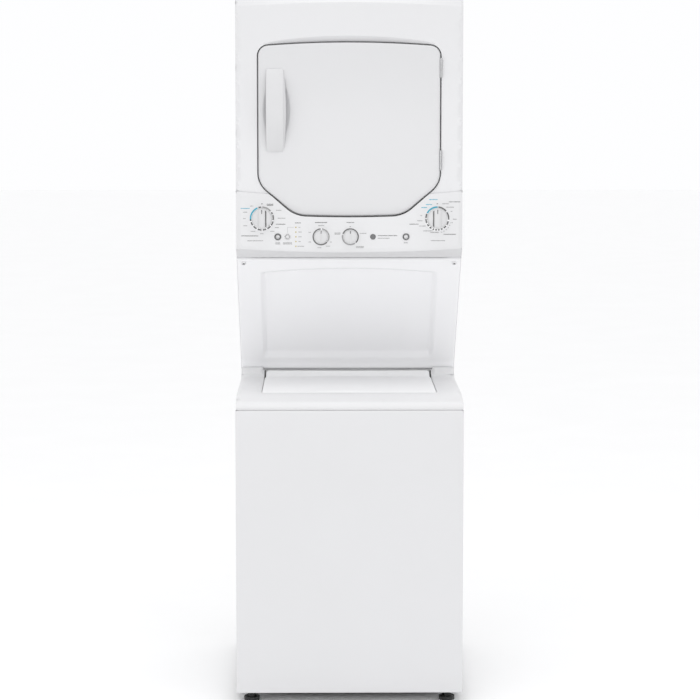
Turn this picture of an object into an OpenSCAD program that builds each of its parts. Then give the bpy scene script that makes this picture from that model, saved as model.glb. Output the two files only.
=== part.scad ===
// Stacked laundry centre: a top-load washer below, a front-load dryer above,
// joined by a forward-leaning bridge. +X is the user's right, +Y is the back,
// +Z is up, and the origin is on the floor under the middle of the cabinet.

/* [Overall] */
// Width across the side panels
body_w = 603; // [597:1:610]
// Depth from the washer's front to the rear spigots
body_d = 650; // [646:1:660]
// Height of the base above the floor
foot_h = 28; // [26:1:32]

/* [Washer] */
// Height of the level deck round the lid
deck_z = 828; // [826:1:832]
// Width of the lid
lid_w = 469; // [455:1:472]
// Radius of the outer tub
tub_r = 255; // [252:1:257]
// Radius of the wash basket
basket_r = 238; // [230:1:240]
// Radius of the agitator's skirt
agitator_r = 150; // [130:1:170]

/* [Dryer] */
// Height of the dryer's underside
dryer_z = 1182; // [1181:1:1184]
// Height of the whole stack
body_h = 1876; // [1872:1:1890]
// Radius of the dryer drum
drum_r = 270; // [264:1:272]
// Height of the drum's axis
drum_z = 1530; // [1529:1:1532]
// Width of the dryer door
door_w = 482; // [470:1:484]
// Number of baffles in the drum
baffle_count = 3; // [2:1:4]

/* [Controls] */
// Radius of the two large dials
dial_r = 32; // [28:0.5:33]
// Radius of the two small dials
small_dial_r = 22.5; // [20:0.5:24]
// Radius of the two start buttons
start_r = 9.2; // [8:0.1:10]

/* [Hidden] */
$fn = 72;

// Thickness of the cabinet steel, and of moulded plastic
sheet = 1.2;
wall = 3;
half_w = body_w / 2;
inner_w = half_w - sheet;
front_y = -body_d / 2;
spigot_y = body_d / 2;
rear_y = spigot_y - 12;
liner_y = rear_y - sheet;

enamel = [0.93, 0.93, 0.94];
plastic_white = [0.94, 0.94, 0.95];
zinc = [0.72, 0.73, 0.74];
dark_plastic = [0.18, 0.18, 0.19];
grey_plastic = [0.62, 0.63, 0.64];
rubber = [0.1, 0.1, 0.1];

// Levels of the washer
base_h = 30;
seam_z = deck_z - 36.5;
panel_gap = 0.8;
sweep_z = deck_z + 18;

// The rolled front edge of the top cover is a quarter ellipse
roll_depth = 81;
roll_height = deck_z - seam_z - 2;
roll_steps = 14;

// The lid, its well in the deck and its hinge line
lid_gap = 2;
lid_front = front_y + roll_depth;
lid_bend_y = 62;
lid_rear = 97;
well_rear = 109;
lid_skirt = 14;
hinge_y = 80;
hinge_z = deck_z - 2;
hinge_pin_r = 4;
ledge_z = deck_z - 24;

// The tub and its hanging rods
tub_y = -40;
tub_bottom = 178;
tub_top = 742;
rod_reach = 222;
rod_r = 4;
rod_bottom = 92;
bracket_z = 760;
arm_z = 165;
arm_t = 6;

// The belt drive under the tub
motor_x = -165;
big_pulley_r = 88;
small_pulley_r = 22;
pulley_z = 72;
belt_gap = 0.4;
belt_t = 3;
drain_x = 200;
drain_y = -10;

// The bridge's slanted front, from its foot to its head
bridge_foot = [103, sweep_z + 1.3];
bridge_knee = [96.5, 868];
bridge_crest = [-184.5, 1175.5];
bridge_head = [-185, dryer_z - 1];
bridge_lean = 90 + atan2(bridge_knee[0] - bridge_crest[0], bridge_crest[1] - bridge_knee[1]);
recess_w = 466;

// The dryer's front
dryer_front = -213;
recess_back = dryer_front + 22;
door_half = door_w / 2;
door_top = 1748;
door_crown = 8;
door_gap = 3.5;
door_y = -219;
door_back = -204;
console_y = -228;
mouth = [180, 170];
hinge_x = door_half + door_gap / 2;
hinge_line_y = -217;

// The dryer's drive, in the lower right corner
drive_x = 228;
drive_z = 1262;
motor_pulley_r = 14;
idler_r = 20;
idler_x = 150;
idler_z = 1228.4;
pivot_x = 200;
pivot_z = 1205;
belt_y = 70;
belt_w = 10;
duct_x = -150;
duct_z = 1239;
duct_r = 50.8;

// Feet, and the bosses in the base that their studs turn in
foot_x = 262;
foot_front = front_y + 42;
foot_rear = liner_y - 42;
foot_boss = 14;
stud_r = 5;

// Water valve, drain and power entry on the back
valve_x = [-95, -45];
valve_z = 710;
valve_r = 13.2;
drain_z = 78;
hose_r = 13;
power_x = 170;
power_z = 1236;
power_r = 16;

// Depth of the dryer's front pressing, and the plane of the lint filter
front_tray = 17;
filter_y = -159;

// Door handle and hinges
handle_x = -196.5;
handle_w = 47;
handle_z = 1577.5;
handle_h = 219;
hinge_levels = [1446, 1690];
leaf_h = 52;

// Knobs, buttons and lamps on the console
dial_z = 1291.5;
row_z = 1243;
cycle_x = -232;
timer_x = 234;
temperature_x = -75;
option_x = 3;
console_low = 1206;
button_y = -225;
led_x = -142;
led_pitch = 12.6;
led_r = 1.5;
badge_x = 63;
washer_start_x = -190;
dryer_start_x = 151;
signal_x = -164;
signal_r = 8;

// ---- helpers -------------------------------------------------------------

module block(low, high) {
    translate(low) cube(high - low);
}

module front_slab(back_y, thick) {
    translate([0, back_y, 0]) rotate([90, 0, 0]) linear_extrude(thick) children();
}

module side_slab(left_x, width) {
    translate([left_x, 0, 0]) rotate([90, 0, 90]) linear_extrude(width) children();
}

module rod_y(x, z, start, end, r) {
    translate([x, start, z]) rotate([-90, 0, 0]) cylinder(h = end - start, r = r);
}

module rod_x(y, z, start, end, r) {
    translate([start, y, z]) rotate([0, 90, 0]) cylinder(h = end - start, r = r);
}

module rod_z(x, y, start, end, r) {
    translate([x, y, start]) cylinder(h = end - start, r = r);
}

module tube_z(x, y, start, end, outer, inner) {
    translate([x, y, start]) difference() {
        cylinder(h = end - start, r = outer);
        translate([0, 0, -1]) cylinder(h = end - start + 2, r = inner);
    }
}

module tube_y(x, z, start, end, outer, inner) {
    difference() {
        rod_y(x, z, start, end, outer);
        rod_y(x, z, start - 1, end + 1, inner);
    }
}

module rounded_mouth(half_x, half_z, r) {
    translate([0, drum_z]) offset(r = r) square([2 * (half_x - r), 2 * (half_z - r)], center = true);
}

module mirrored() {
    children();
    mirror([1, 0, 0]) children();
}

// Outline of the dryer door, grown or shrunk by gap
module door_shape(gap = 0) {
    shoulder_r = 60;
    corner_r = 27;
    toe_r = 81;
    toe_z = 1299.5;
    shoulder_z = 1412;
    toe_sag = 2;
    offset(r = gap, $fn = 32) hull() {
        for (side = [-1, 1]) {
            translate([side * (door_half - corner_r), door_top - corner_r]) circle(corner_r, $fn = 40);
            translate([side * (door_half - shoulder_r), shoulder_z]) circle(shoulder_r, $fn = 48);
            translate([side * 112, toe_z + toe_r]) circle(toe_r, $fn = 64);
        }
        polygon([for (t = [-1 : 0.2 : 1]) [t * 214, door_top + door_crown * (1 - t * t)]]);
        polygon([for (t = [-1 : 0.25 : 1]) [t * 112, toe_z - toe_sag * (1 - t * t)]]);
    }
}

// Side outline of the top cover, drawn in by inset; skirt is its lower level
function cover_roll(inset) = [for (i = [0 : roll_steps])
    [lid_front - (roll_depth - inset) * cos(90 * i / roll_steps),
     deck_z - roll_height + (roll_height - inset) * sin(90 * i / roll_steps)]];
function cover_outline(inset, skirt) = concat(
    [[front_y + inset, skirt]], cover_roll(inset),
    [[lid_bend_y, deck_z - inset], [lid_rear, sweep_z - 1 - inset],
     [liner_y - inset, sweep_z - 1 - inset], [liner_y - inset, skirt]]);

// ---- base and feet -------------------------------------------------------

module base_frame() color(zinc) {
    flange = 60;
    plate = 2;
    base_front = front_y + 6;
    boss_r = 11;
    difference() {
        union() {
            difference() {
                block([-inner_w + 0.1, base_front, foot_h], [inner_w - 0.1, liner_y, foot_h + base_h]);
                block([-inner_w + plate, base_front + plate, foot_h + plate],
                      [inner_w - plate, liner_y - plate, foot_h + base_h + 1]);
                block([-inner_w + flange, base_front + flange, foot_h - 1],
                      [inner_w - flange, liner_y - flange, foot_h + plate + 1]);
            }
            block([drain_x - 50, drain_y - 50, foot_h], [inner_w - 2, drain_y + 50, foot_h + plate]);
            for (x = [-foot_x, foot_x], y = [foot_front, foot_rear])
                rod_z(x, y, foot_h, foot_h + foot_boss, boss_r);
        }
        for (x = [-foot_x, foot_x], y = [foot_front, foot_rear])
            rod_z(x, y, foot_h - 1, foot_h + foot_boss + 1, stud_r + 0.05);
    }
}

module foot(x, y) {
    pad_h = 10;
    hex_h = 8;
    color(rubber) rod_z(x, y, 0, pad_h, 21);
    color(zinc) translate([x, y, pad_h]) cylinder(h = hex_h, r = 11, $fn = 6);
    color(zinc) rod_z(x, y, pad_h + hex_h, foot_h + foot_boss + 10, stud_r);
}

module foot_front_left() foot(-foot_x, foot_front);
module foot_front_right() foot(foot_x, foot_front);
module foot_rear_left() foot(-foot_x, foot_rear);
module foot_rear_right() foot(foot_x, foot_rear);

// ---- washer cabinet ------------------------------------------------------

// Three-sided wrap with return flanges behind the front and rod brackets
module washer_cabinet() color(enamel) {
    lip = 20;
    top = seam_z - 2;
    tray = front_y + 3;
    difference() {
        block([-half_w, tray, foot_h], [half_w, rear_y, top]);
        block([-inner_w, tray + sheet, foot_h - 1], [inner_w, liner_y, top + 1]);
        block([-inner_w + lip, tray - 1, foot_h - 1], [inner_w - lip, tray + 2, top + 1]);
        for (x = valve_x) rod_y(x, valve_z, liner_y - 5, rear_y + 5, valve_r + 2);
        rod_y(drain_x, drain_z, liner_y - 5, rear_y + 5, hose_r + 2);
    }
    for (side = [-1, 1], end = [-1, 1]) rod_bracket(side, tub_y + end * rod_reach);
}

// Folded bracket that a suspension rod hangs from
module rod_bracket(side, y) {
    reach = 24;
    bracket_t = 6;
    low_x = side > 0 ? rod_reach - reach : -inner_w;
    high_x = side > 0 ? inner_w : -rod_reach + reach;
    difference() {
        block([low_x, y - reach, bracket_z], [high_x, y + reach, bracket_z + bracket_t]);
        rod_z(side * rod_reach, y, bracket_z - 1, bracket_z + bracket_t + 1, rod_r + 0.5);
    }
}

module washer_front_panel() color(enamel) {
    tray = front_y + 3;
    difference() {
        block([-half_w, front_y, foot_h], [half_w, tray, seam_z - panel_gap]);
        block([-inner_w, front_y + sheet, foot_h + sheet], [inner_w, tray + 1, seam_z - panel_gap - sheet]);
    }
}

module top_cover() color(plastic_white) {
    skin = 2;
    half_cover = half_w - 1;
    well = lid_w / 2 + lid_gap;
    hub_r = 8;
    opening = [185, -222, 60];
    opening_r = 60;
    difference() {
        union() {
            difference() {
                side_slab(-half_cover, 2 * half_cover) polygon(cover_outline(0, seam_z));
                side_slab(-half_cover + skin, 2 * (half_cover - skin))
                    polygon(cover_outline(skin, seam_z - 5));
            }
            intersection() {
                side_slab(-half_cover, 2 * half_cover) polygon(cover_outline(0, seam_z));
                block([-well - skin, lid_front - lid_gap - skin, ledge_z - skin],
                      [well + skin, well_rear + skin, sweep_z]);
            }
            for (side = [-1, 1])
                rod_x(hinge_y, hinge_z, side > 0 ? well : -well - 14, side > 0 ? well + 14 : -well, hub_r);
        }
        block([-well, lid_front - lid_gap, ledge_z], [well, well_rear, sweep_z + 5]);
        translate([0, (opening[1] + opening[2]) / 2, ledge_z - 5])
            linear_extrude(10) offset(r = opening_r)
            square([2 * (opening[0] - opening_r), opening[2] - opening[1] - 2 * opening_r], center = true);
        for (side = [-1, 1])
            rod_x(hinge_y, hinge_z, side > 0 ? well - 3 : -well - 12, side > 0 ? well + 12 : -well + 3,
                  hinge_pin_r + 0.06);
    }
}

module washer_lid() color(plastic_white) {
    skin = 2.5;
    half_lid = lid_w / 2;
    bottom = deck_z - lid_skirt;
    flat = [[lid_front, deck_z], [lid_bend_y, deck_z], [lid_rear, sweep_z - 1]];
    side_slab(-half_lid, lid_w) polygon(concat(flat,
        [[lid_rear, sweep_z - 1 - skin], [lid_bend_y, deck_z - skin], [lid_front, deck_z - skin]]));
    block([-half_lid, lid_front, bottom], [half_lid, lid_front + skin, deck_z - skin]);
    for (side = [-1, 1]) {
        low_x = side > 0 ? half_lid - skin : -half_lid;
        side_slab(low_x, skin) polygon([[lid_front, bottom], [hinge_y + 6, bottom], [hinge_y + 8, bottom + 6],
            [hinge_y + 8, deck_z + 3], [lid_bend_y, deck_z - skin], [lid_front, deck_z - skin]]);
        rod_x(hinge_y, hinge_z, side > 0 ? half_lid - 4 : -half_lid - 10,
              side > 0 ? half_lid + 10 : -half_lid + 4, hinge_pin_r);
    }
}

// ---- tub and suspension --------------------------------------------------

module each_corner() {
    for (x = [-rod_reach, rod_reach], y = [tub_y - rod_reach, tub_y + rod_reach])
        translate([x, y, 0]) children();
}

module suspension_rods() color(zinc) each_corner() {
    rod_z(0, 0, rod_bottom, bracket_z + 12, rod_r);
    rod_z(0, 0, rod_bottom, rod_bottom + 4, 17);
    rod_z(0, 0, bracket_z + 6, bracket_z + 12, 11);
}

module suspension_springs() color(dark_plastic) each_corner()
    tube_z(0, 0, rod_bottom + 4, arm_z - 0.4, 15, 8);

module outer_tub() color(plastic_white) {
    tub_wall = 4;
    difference() {
        union() {
            rod_z(0, tub_y, tub_bottom, tub_top, tub_r);
            rod_z(drain_x, drain_y, tub_bottom - 53, tub_bottom + 2, 14);
        }
        rod_z(0, tub_y, tub_bottom + tub_wall, tub_top + 1, tub_r - tub_wall);
        rod_z(0, tub_y, tub_bottom - 1, tub_bottom + tub_wall + 1, 31);
        rod_z(drain_x, drain_y, tub_bottom - 60, tub_bottom + tub_wall + 1, 11);
    }
}

// Moulded ring that closes the gap over the basket's rim
module tub_cover() color(plastic_white) translate([0, tub_y, 0]) rotate_extrude() polygon([
    [212, tub_top + 22], [212, tub_top + 30], [216, tub_top + 26], [tub_r + 3.5, tub_top + 26],
    [tub_r + 3.5, tub_top - 14], [tub_r + 0.4, tub_top - 14], [tub_r + 0.4, tub_top + 0.1],
    [tub_r - 3, tub_top + 0.1], [tub_r - 3, tub_top + 22]]);

// Cross-shaped plate that hangs on the rods, with a ring under the tub's floor
module drive_platform() color(zinc) {
    arm_w = 44;
    pad_r = 27;
    motor_plate = 56;
    reach = rod_reach * sqrt(2);
    corners = [for (x = [-1, 1], y = [-1, 1]) rod_reach * [x, y]];
    translate([0, tub_y, arm_z]) linear_extrude(arm_t) difference() {
        union() {
            for (turn = [45, 135]) rotate(turn) square([2 * reach, arm_w], center = true);
            for (corner = corners) translate(corner) circle(pad_r);
            circle(118);
            translate([motor_x, 0]) square(2 * motor_plate, center = true);
        }
        circle(30.2);
        for (corner = corners) translate(corner) circle(rod_r + 2.5);
    }
    tube_z(0, tub_y, arm_z + arm_t, tub_bottom, 112, 104);
}

module gearcase() color(zinc) translate([0, tub_y, 0]) difference() {
    union() {
        cylinder_between(98, arm_z, 74);
        cylinder_between(98, tub_bottom + 8, 30);
    }
    cylinder_between(140, tub_bottom + 9, 16.06);
    cylinder_between(97, 130, 8.06);
}

module cylinder_between(start, end, r) {
    translate([0, 0, start]) cylinder(h = end - start, r = r);
}

module washer_motor() color(dark_plastic) translate([motor_x, tub_y, 0]) difference() {
    union() {
        cylinder_between(96, arm_z, 54);
        cylinder_between(104, 150, 60);
    }
    cylinder_between(95, 125, 7.06);
}

// Outline of a flat belt round two pulleys, grown by gap
module belt_outline(r1, r2, centre, gap) {
    hull() {
        circle(r1 + gap);
        translate(centre) circle(r2 + gap);
    }
}

module washer_belt() color(rubber) translate([0, tub_y, pulley_z + 2]) linear_extrude(12) difference() {
    belt_outline(big_pulley_r, small_pulley_r, [motor_x, 0], belt_gap + belt_t);
    belt_outline(big_pulley_r, small_pulley_r, [motor_x, 0], belt_gap);
}

module washer_drive_pulley() color(zinc) translate([0, tub_y, 0]) {
    difference() {
        cylinder_between(pulley_z, pulley_z + 16, big_pulley_r);
        cylinder_between(pulley_z + 4, pulley_z + 17, big_pulley_r - 6);
    }
    difference() {
        cylinder_between(pulley_z, pulley_z + 16, 24);
        cylinder_between(pulley_z - 1, pulley_z + 4, 8);
    }
    cylinder_between(pulley_z + 4, 128, 8);
}

module washer_motor_pulley() color(zinc) translate([motor_x, tub_y, 0]) {
    cylinder_between(pulley_z, pulley_z + 16, small_pulley_r);
    cylinder_between(pulley_z + 16, 122, 7);
}

// ---- basket and agitator -------------------------------------------------

module wash_basket() color([0.86, 0.87, 0.88]) translate([0, tub_y, 0]) {
    basket_wall = 3;
    floor_z = 205;
    rim_z = 735;
    columns = 14;
    difference() {
        cylinder_between(floor_z, rim_z, basket_r);
        cylinder_between(floor_z + 4, rim_z + 1, basket_r - basket_wall);
        cylinder_between(floor_z - 1, floor_z + 5, 16.02);
        for (level = [0 : 3], i = [0 : columns - 1])
            translate([0, 0, 300 + level * 110]) rotate(360 * (i + 0.5 * (level % 2)) / columns)
                rod_y(0, 0, basket_r - basket_wall - 3, basket_r + 2, 5);
    }
}

module balance_ring() color(plastic_white) translate([0, tub_y, 0]) rotate_extrude() polygon([
    [basket_r - 22, 735], [basket_r - 25, 748], [basket_r - 20, 757], [basket_r - 2, 757],
    [basket_r + 3, 750], [basket_r + 3, 735]]);

module spin_tube() color(zinc) translate([0, tub_y, 0]) difference() {
    union() {
        cylinder_between(142, 210, 16);
        cylinder_between(199, 204.9, 56);
    }
    cylinder_between(141, 211, 10);
}

module agitator() color(plastic_white) translate([0, tub_y, 0]) {
    fins = 4;
    skirt = [[agitator_r, 222], [118, 234], [84, 262], [62, 300], [52, 350], [46, 560], [46, 640],
        [38, 662], [22, 672], [0, 675]];
    rotate_extrude() polygon(concat([[agitator_r, 214]], skirt, [[0, 668], [21, 665], [33, 658], [42, 638],
        [42, 560], [48, 350], [58, 300], [81, 258], [117, 230], [agitator_r - 4, 218],
        [agitator_r - 4, 214]]));
    cylinder_between(150, 669, 9.94);
    for (level = [236, 640]) cylinder_between(level, level + 4, level > 300 ? 44 : 100);
    for (i = [0 : fins - 1]) rotate(360 * i / fins) rotate([90, 0, 0]) translate([0, 0, -4])
        linear_extrude(8) polygon([[40, 225], [agitator_r - 12, 218], [agitator_r - 14, 262], [112, 330],
            [78, 400], [58, 500], [40, 520]]);
}

// ---- water ---------------------------------------------------------------

module drain_pump() color(dark_plastic) {
    difference() {
        union() {
            rod_z(drain_x, drain_y, foot_h + 2, 93, 40);
            rod_z(drain_x, drain_y, 93, 152, 18.5);
        }
        rod_z(drain_x, drain_y, 88, 153, 15.5);
    }
    tube_y(drain_x, drain_z, drain_y + 38, spigot_y, hose_r, hose_r - 3);
    tube_y(drain_x, drain_z, drain_y + 38, drain_y + 46, hose_r + 3, hose_r - 3);
}

module inlet_valve() {
    color(grey_plastic) block([-112, 262, 688], [-28, 300, 732]);
    color(plastic_white) difference() {
        union() {
            for (x = valve_x) rod_y(x, valve_z, 300, spigot_y, valve_r);
            block([-86, 150, 782], [-54, 282, 799]);
            block([-86, 262, 732], [-54, 282, 790]);
        }
        for (x = valve_x) rod_y(x, valve_z, 304, spigot_y + 1, valve_r - 3);
        block([-83, 153, 780], [-57, 200, 796]);
    }
}

// ---- bridge --------------------------------------------------------------

module bridge_recess() {
    rise = bridge_crest - bridge_knee;
    length = norm(rise);
    half = recess_w / 2;
    arch = 16;
    side_gap = 48;
    translate([0, bridge_knee[0], bridge_knee[1]]) rotate([bridge_lean, 0, 0]) translate([0, 0, -5])
        linear_extrude(30) polygon(concat([[half, -6], [half, length - side_gap]],
            [for (t = [0.9 : -0.1 : -0.9]) [half * t, length - side_gap + arch * (1 - t * t)]],
            [[-half, length - side_gap], [-half, -6]]));
}

module bridge_panel() color(enamel) difference() {
    side_slab(-inner_w + 0.3, 2 * (inner_w - 0.3)) polygon([
        bridge_foot, bridge_knee, bridge_crest, bridge_head,
        bridge_head + [9, 0], bridge_crest + [6.5, 5], bridge_knee + [7.5, 4], bridge_foot + [8, 0]]);
    bridge_recess();
    for (side = [-1, 1]) screw_place(side) rod_z(0, 0, -20, 10, 3.1);
}

// Carries a screw to its place at the bridge's top corner, facing out
module screw_place(side) {
    along = 0.984;
    spot = bridge_knee + along * (bridge_crest - bridge_knee);
    translate([side * 283, spot[0], spot[1]]) rotate([bridge_lean, 0, 0]) children();
}

module cabinet_screws() color(zinc) for (side = [-1, 1]) screw_place(side) {
    rod_z(0, 0, -8, 0, 3);
    rod_z(0, 0, 0, 2.4, 6.5);
}

// One back sheet behind the bridge and the dryer
module rear_panel() color(zinc) difference() {
    block([-half_w, liner_y + 0.1, sweep_z], [half_w, rear_y, body_h - 3]);
    rod_y(duct_x, duct_z, liner_y - 5, rear_y + 5, duct_r + 1.5);
    rod_y(power_x, power_z, liner_y - 5, rear_y + 5, power_r);
    for (i = [0 : 5]) block([-120, liner_y - 2, 900 + i * 26], [120, rear_y + 2, 908 + i * 26]);
}

// Two upright side walls that carry the dryer's floor pan
module dryer_stand() color(enamel) {
    low = sweep_z + 0.5;
    setback = 6;
    for (side = [-1, 1]) side_slab(side > 0 ? inner_w : -half_w, sheet) polygon([
        bridge_foot + [setback, -0.8], bridge_knee + [setback, 0], bridge_crest + [setback, 0],
        bridge_head + [setback, 0], [liner_y, dryer_z - 1], [liner_y, low]]);
    block([-half_w, bridge_head[0] + setback, dryer_z - 1], [half_w, liner_y, dryer_z + 2]);
}

// ---- dryer body ----------------------------------------------------------

module dryer_cabinet() color(enamel) difference() {
    block([-half_w, dryer_front + front_tray, dryer_z + 2], [half_w, liner_y, body_h]);
    block([-inner_w, dryer_front + front_tray - 1, dryer_z + 1], [inner_w, rear_y + 1, body_h - sheet]);
}

// Pressed front with a bevelled head, the door's recess and the drum's throat
module dryer_front_panel() color(enamel) {
    low = console_low;
    head = 20;
    back = dryer_front + front_tray;
    throat_r = drum_r - 43;
    difference() {
        union() {
            difference() {
                side_slab(-half_w, body_w) polygon([[dryer_front, low], [dryer_front, body_h - head],
                    [dryer_front + 10, body_h], [back, body_h], [back, low]]);
                side_slab(-inner_w, 2 * inner_w) polygon([[dryer_front + sheet, low + sheet],
                    [dryer_front + sheet, body_h - head - 0.4], [dryer_front + 10.6, body_h - sheet],
                    [back + 1, body_h - sheet], [back + 1, low + sheet]]);
            }
            front_slab(recess_back + sheet, recess_back + sheet - dryer_front) door_shape(door_gap + sheet);
        }
        front_slab(recess_back, 40) door_shape(door_gap);
        front_slab(recess_back + 5, 20) rounded_mouth(mouth[0], mouth[1], 80);
        for (x = [cycle_x, timer_x]) rod_y(x, dial_z, dryer_front - 1, back, 8);
        for (x = [temperature_x, option_x]) rod_y(x, row_z, dryer_front - 1, back, 8);
    }
    difference() {
        tube_y(0, drum_z, recess_back + sheet, -132, throat_r, throat_r - 2);
        block([-103, filter_y - 8, drum_z - throat_r - 5], [103, filter_y + 8, drum_z - 150]);
    }
}

// Rear bulkhead with the drum's bearing boss and the hot air openings
module dryer_bulkhead() color(zinc) difference() {
    union() {
        block([-inner_w + 0.3, 284, dryer_z + 2.2], [inner_w - 0.3, 286, body_h - 3]);
        rod_y(0, drum_z, 281, 300, 22);
    }
    rod_y(0, drum_z, 280, 301, 8.06);
    rod_y(duct_x, duct_z, 283, 287, duct_r + 1.5);
    for (i = [0 : 5]) translate([0, 0, drum_z]) rotate([0, 30 * i - 75, 0]) rod_y(0, 150, 283, 287, 14);
}

module heater_box() color(zinc) difference() {
    block([-190, 286.1, drum_z + 26], [190, 308, drum_z + 190]);
    block([-187, 280, drum_z + 29], [187, 306, drum_z + 187]);
}

module drum() color([0.8, 0.81, 0.82]) {
    skin = 1.5;
    drum_start = -144;
    drum_end = 278;
    difference() {
        rod_y(0, drum_z, drum_start, drum_end, drum_r);
        rod_y(0, drum_z, drum_start + skin, drum_end - skin, drum_r - skin);
        rod_y(0, drum_z, drum_start - 1, drum_start + skin + 1, drum_r - 39);
        for (ring = [1 : 2], i = [0 : 17]) translate([0, 0, drum_z]) rotate([0, 20 * i + 10 * ring, 0])
            rod_y(0, 110 + 36 * ring, drum_end - 3, drum_end + 1, 6);
    }
    rod_y(0, drum_z, drum_end, 306, 8);
}

module drum_baffles() color(grey_plastic) for (i = [0 : baffle_count - 1])
    translate([0, 0, drum_z]) rotate([0, 360 * i / baffle_count + 20, 0]) {
        base = sqrt(pow(drum_r - 1.9, 2) - 32 * 32);
        difference() {
            front_slab(270, 400) polygon([[-32, -base], [32, -base], [24, -base + 20], [9, -base + 62],
                [-9, -base + 62], [-24, -base + 20]]);
            front_slab(270 - wall, 400 - 2 * wall) polygon([[-27, -base - 1], [27, -base - 1],
                [20, -base + 19], [6.5, -base + 62 - wall], [-6.5, -base + 62 - wall], [-20, -base + 19]]);
        }
    }

// ---- air path ------------------------------------------------------------

module lint_duct() color(zinc) difference() {
    union() {
        block([-118, filter_y - 9, 1196], [118, filter_y + 9, 1301]);
        block([100, filter_y - 9, 1196], [drive_x + 48, filter_y + 9, 1301]);
    }
    block([-116, filter_y - 7.5, 1198], [drive_x + 46, filter_y + 7.5, 1299]);
    block([-106, filter_y - 7.5, 1290], [106, filter_y + 7.5, 1305]);
    rod_y(drive_x, drive_z, filter_y, filter_y + 12, 34);
}

module lint_filter() color(grey_plastic) {
    low = 1212;
    high = 1344;
    difference() {
        block([-100, filter_y - 5, low], [100, filter_y + 5, high]);
        for (middle = [-49, 49], face = [-3.3, 3.3])
            block([middle - 44, filter_y + face - 2.7, low + 8],
                  [middle + 44, filter_y + face + 2.7, high - 12]);
    }
    block([-42, filter_y - 5, high], [42, filter_y + 5, high + 11]);
}

module blower_housing() color(grey_plastic) {
    front = filter_y + 9.3;
    back = -92;
    scroll_r = 66;
    skin = 2.5;
    difference() {
        union() {
            rod_y(drive_x, drive_z, front, back, scroll_r);
            block([-205, front + 3, 1190], [drive_x, back - 3, 1240]);
        }
        rod_y(drive_x, drive_z, front + skin, back - skin, scroll_r - skin);
        block([-205 + skin, front + 3 + skin, 1190 + skin], [drive_x, back - 3 - skin, 1240 - skin]);
        rod_y(drive_x, drive_z, front - 1, front + skin + 1, 38);
        rod_y(drive_x, drive_z, back - skin - 1, back + 1, 9);
        translate([duct_x, back - 8, 1215]) block([-40, 0, -20], [40, 10, 20]);
    }
}

module blower_wheel() color(grey_plastic) {
    blades = 18;
    difference() {
        union() {
            rod_y(drive_x, drive_z, -104, -101, 54);
            rod_y(drive_x, drive_z, -142, -101, 13);
            translate([drive_x, -142, drive_z]) for (i = [0 : blades - 1]) rotate([0, 360 * i / blades, 0])
                translate([36, 0, 0]) rotate([0, 25, 0]) cube([17, 39, 1.6]);
        }
        rod_y(drive_x, drive_z, -143, -100, 6.02);
    }
}

module exhaust_duct() color(zinc) difference() {
    union() {
        rod_y(duct_x, duct_z, -84, spigot_y, duct_r);
        block([duct_x - 43, -94.9, 1191], [duct_x + 43, -84, 1242]);
    }
    rod_y(duct_x, duct_z, -82, spigot_y + 1, duct_r - 1.2);
    block([duct_x - 40, -96, 1195], [duct_x + 40, -80, 1235]);
}

// ---- dryer drive ---------------------------------------------------------

module dryer_motor() color(dark_plastic) difference() {
    union() {
        rod_y(drive_x, drive_z, -78, 52, 46);
        rod_y(drive_x, drive_z, -66, 40, 52);
        for (y = [-62, 32]) block([drive_x - 38, y, dryer_z + 2.3], [drive_x + 38, y + 4, drive_z - 30]);
        block([pivot_x - 16, 32, dryer_z + 2.3], [pivot_x + 16, 96, dryer_z + 6]);
        block([pivot_x - 16, 92, dryer_z + 2.3], [pivot_x + 16, 96, pivot_z + 12]);
        rod_y(pivot_x, pivot_z, 82, 94, 4);
    }
    rod_y(drive_x, drive_z, -79, 53, 6.06);
}

module motor_shaft() color(zinc) {
    rod_y(drive_x, drive_z, -141, 84, 6);
    rod_y(drive_x, drive_z, belt_y - 2, belt_y + belt_w + 2, motor_pulley_r);
}

module drum_belt() color(rubber) translate([0, 0, drum_z]) front_slab(belt_y + belt_w, belt_w) difference() {
    belt_outline(drum_r, motor_pulley_r, [drive_x, drive_z - drum_z], belt_gap + 2.5, $fn = 180);
    belt_outline(drum_r, motor_pulley_r, [drive_x, drive_z - drum_z], belt_gap, $fn = 180);
}

module idler_arm() color(zinc) {
    difference() {
        front_slab(89, 4) hull() {
            translate([pivot_x, pivot_z]) circle(9);
            translate([idler_x, idler_z]) circle(9);
        }
        rod_y(pivot_x, pivot_z, 80, 95, 4.06);
    }
    rod_y(idler_x, idler_z, belt_y - 4, 86, 4);
}

module idler_pulley() color(dark_plastic) difference() {
    rod_y(idler_x, idler_z, belt_y - 2, belt_y + belt_w + 2, idler_r);
    rod_y(idler_x, idler_z, belt_y - 3, belt_y + belt_w + 3, 4.06);
}

// ---- dryer door ----------------------------------------------------------

module handle_pocket(grow) {
    lens_w = 40 + 2 * grow;
    lens_h = 200 + 2 * grow;
    lens_r = (lens_h * lens_h / 4 + lens_w * lens_w / 4) / lens_w;
    translate([handle_x, handle_z]) intersection() {
        translate([lens_r - lens_w / 2, 0]) circle(lens_r, $fn = 240);
        translate([lens_w / 2 - lens_r, 0]) circle(lens_r, $fn = 240);
    }
}

module door_outer() color(enamel) difference() {
    union() {
        difference() {
            front_slab(door_back, door_back - door_y) door_shape();
            front_slab(door_back + 1, door_back + 1 - door_y - 2) door_shape(-2.5);
        }
        front_slab(door_back - 1, door_back - 1 - door_y) handle_pocket(3);
    }
    front_slab(door_y + 10, 20) handle_pocket(0);
    for (z = hinge_levels) rod_z(hinge_x, hinge_line_y, z - leaf_h / 2 - 1, z + leaf_h / 2 + 1, 3.8);
}

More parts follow.
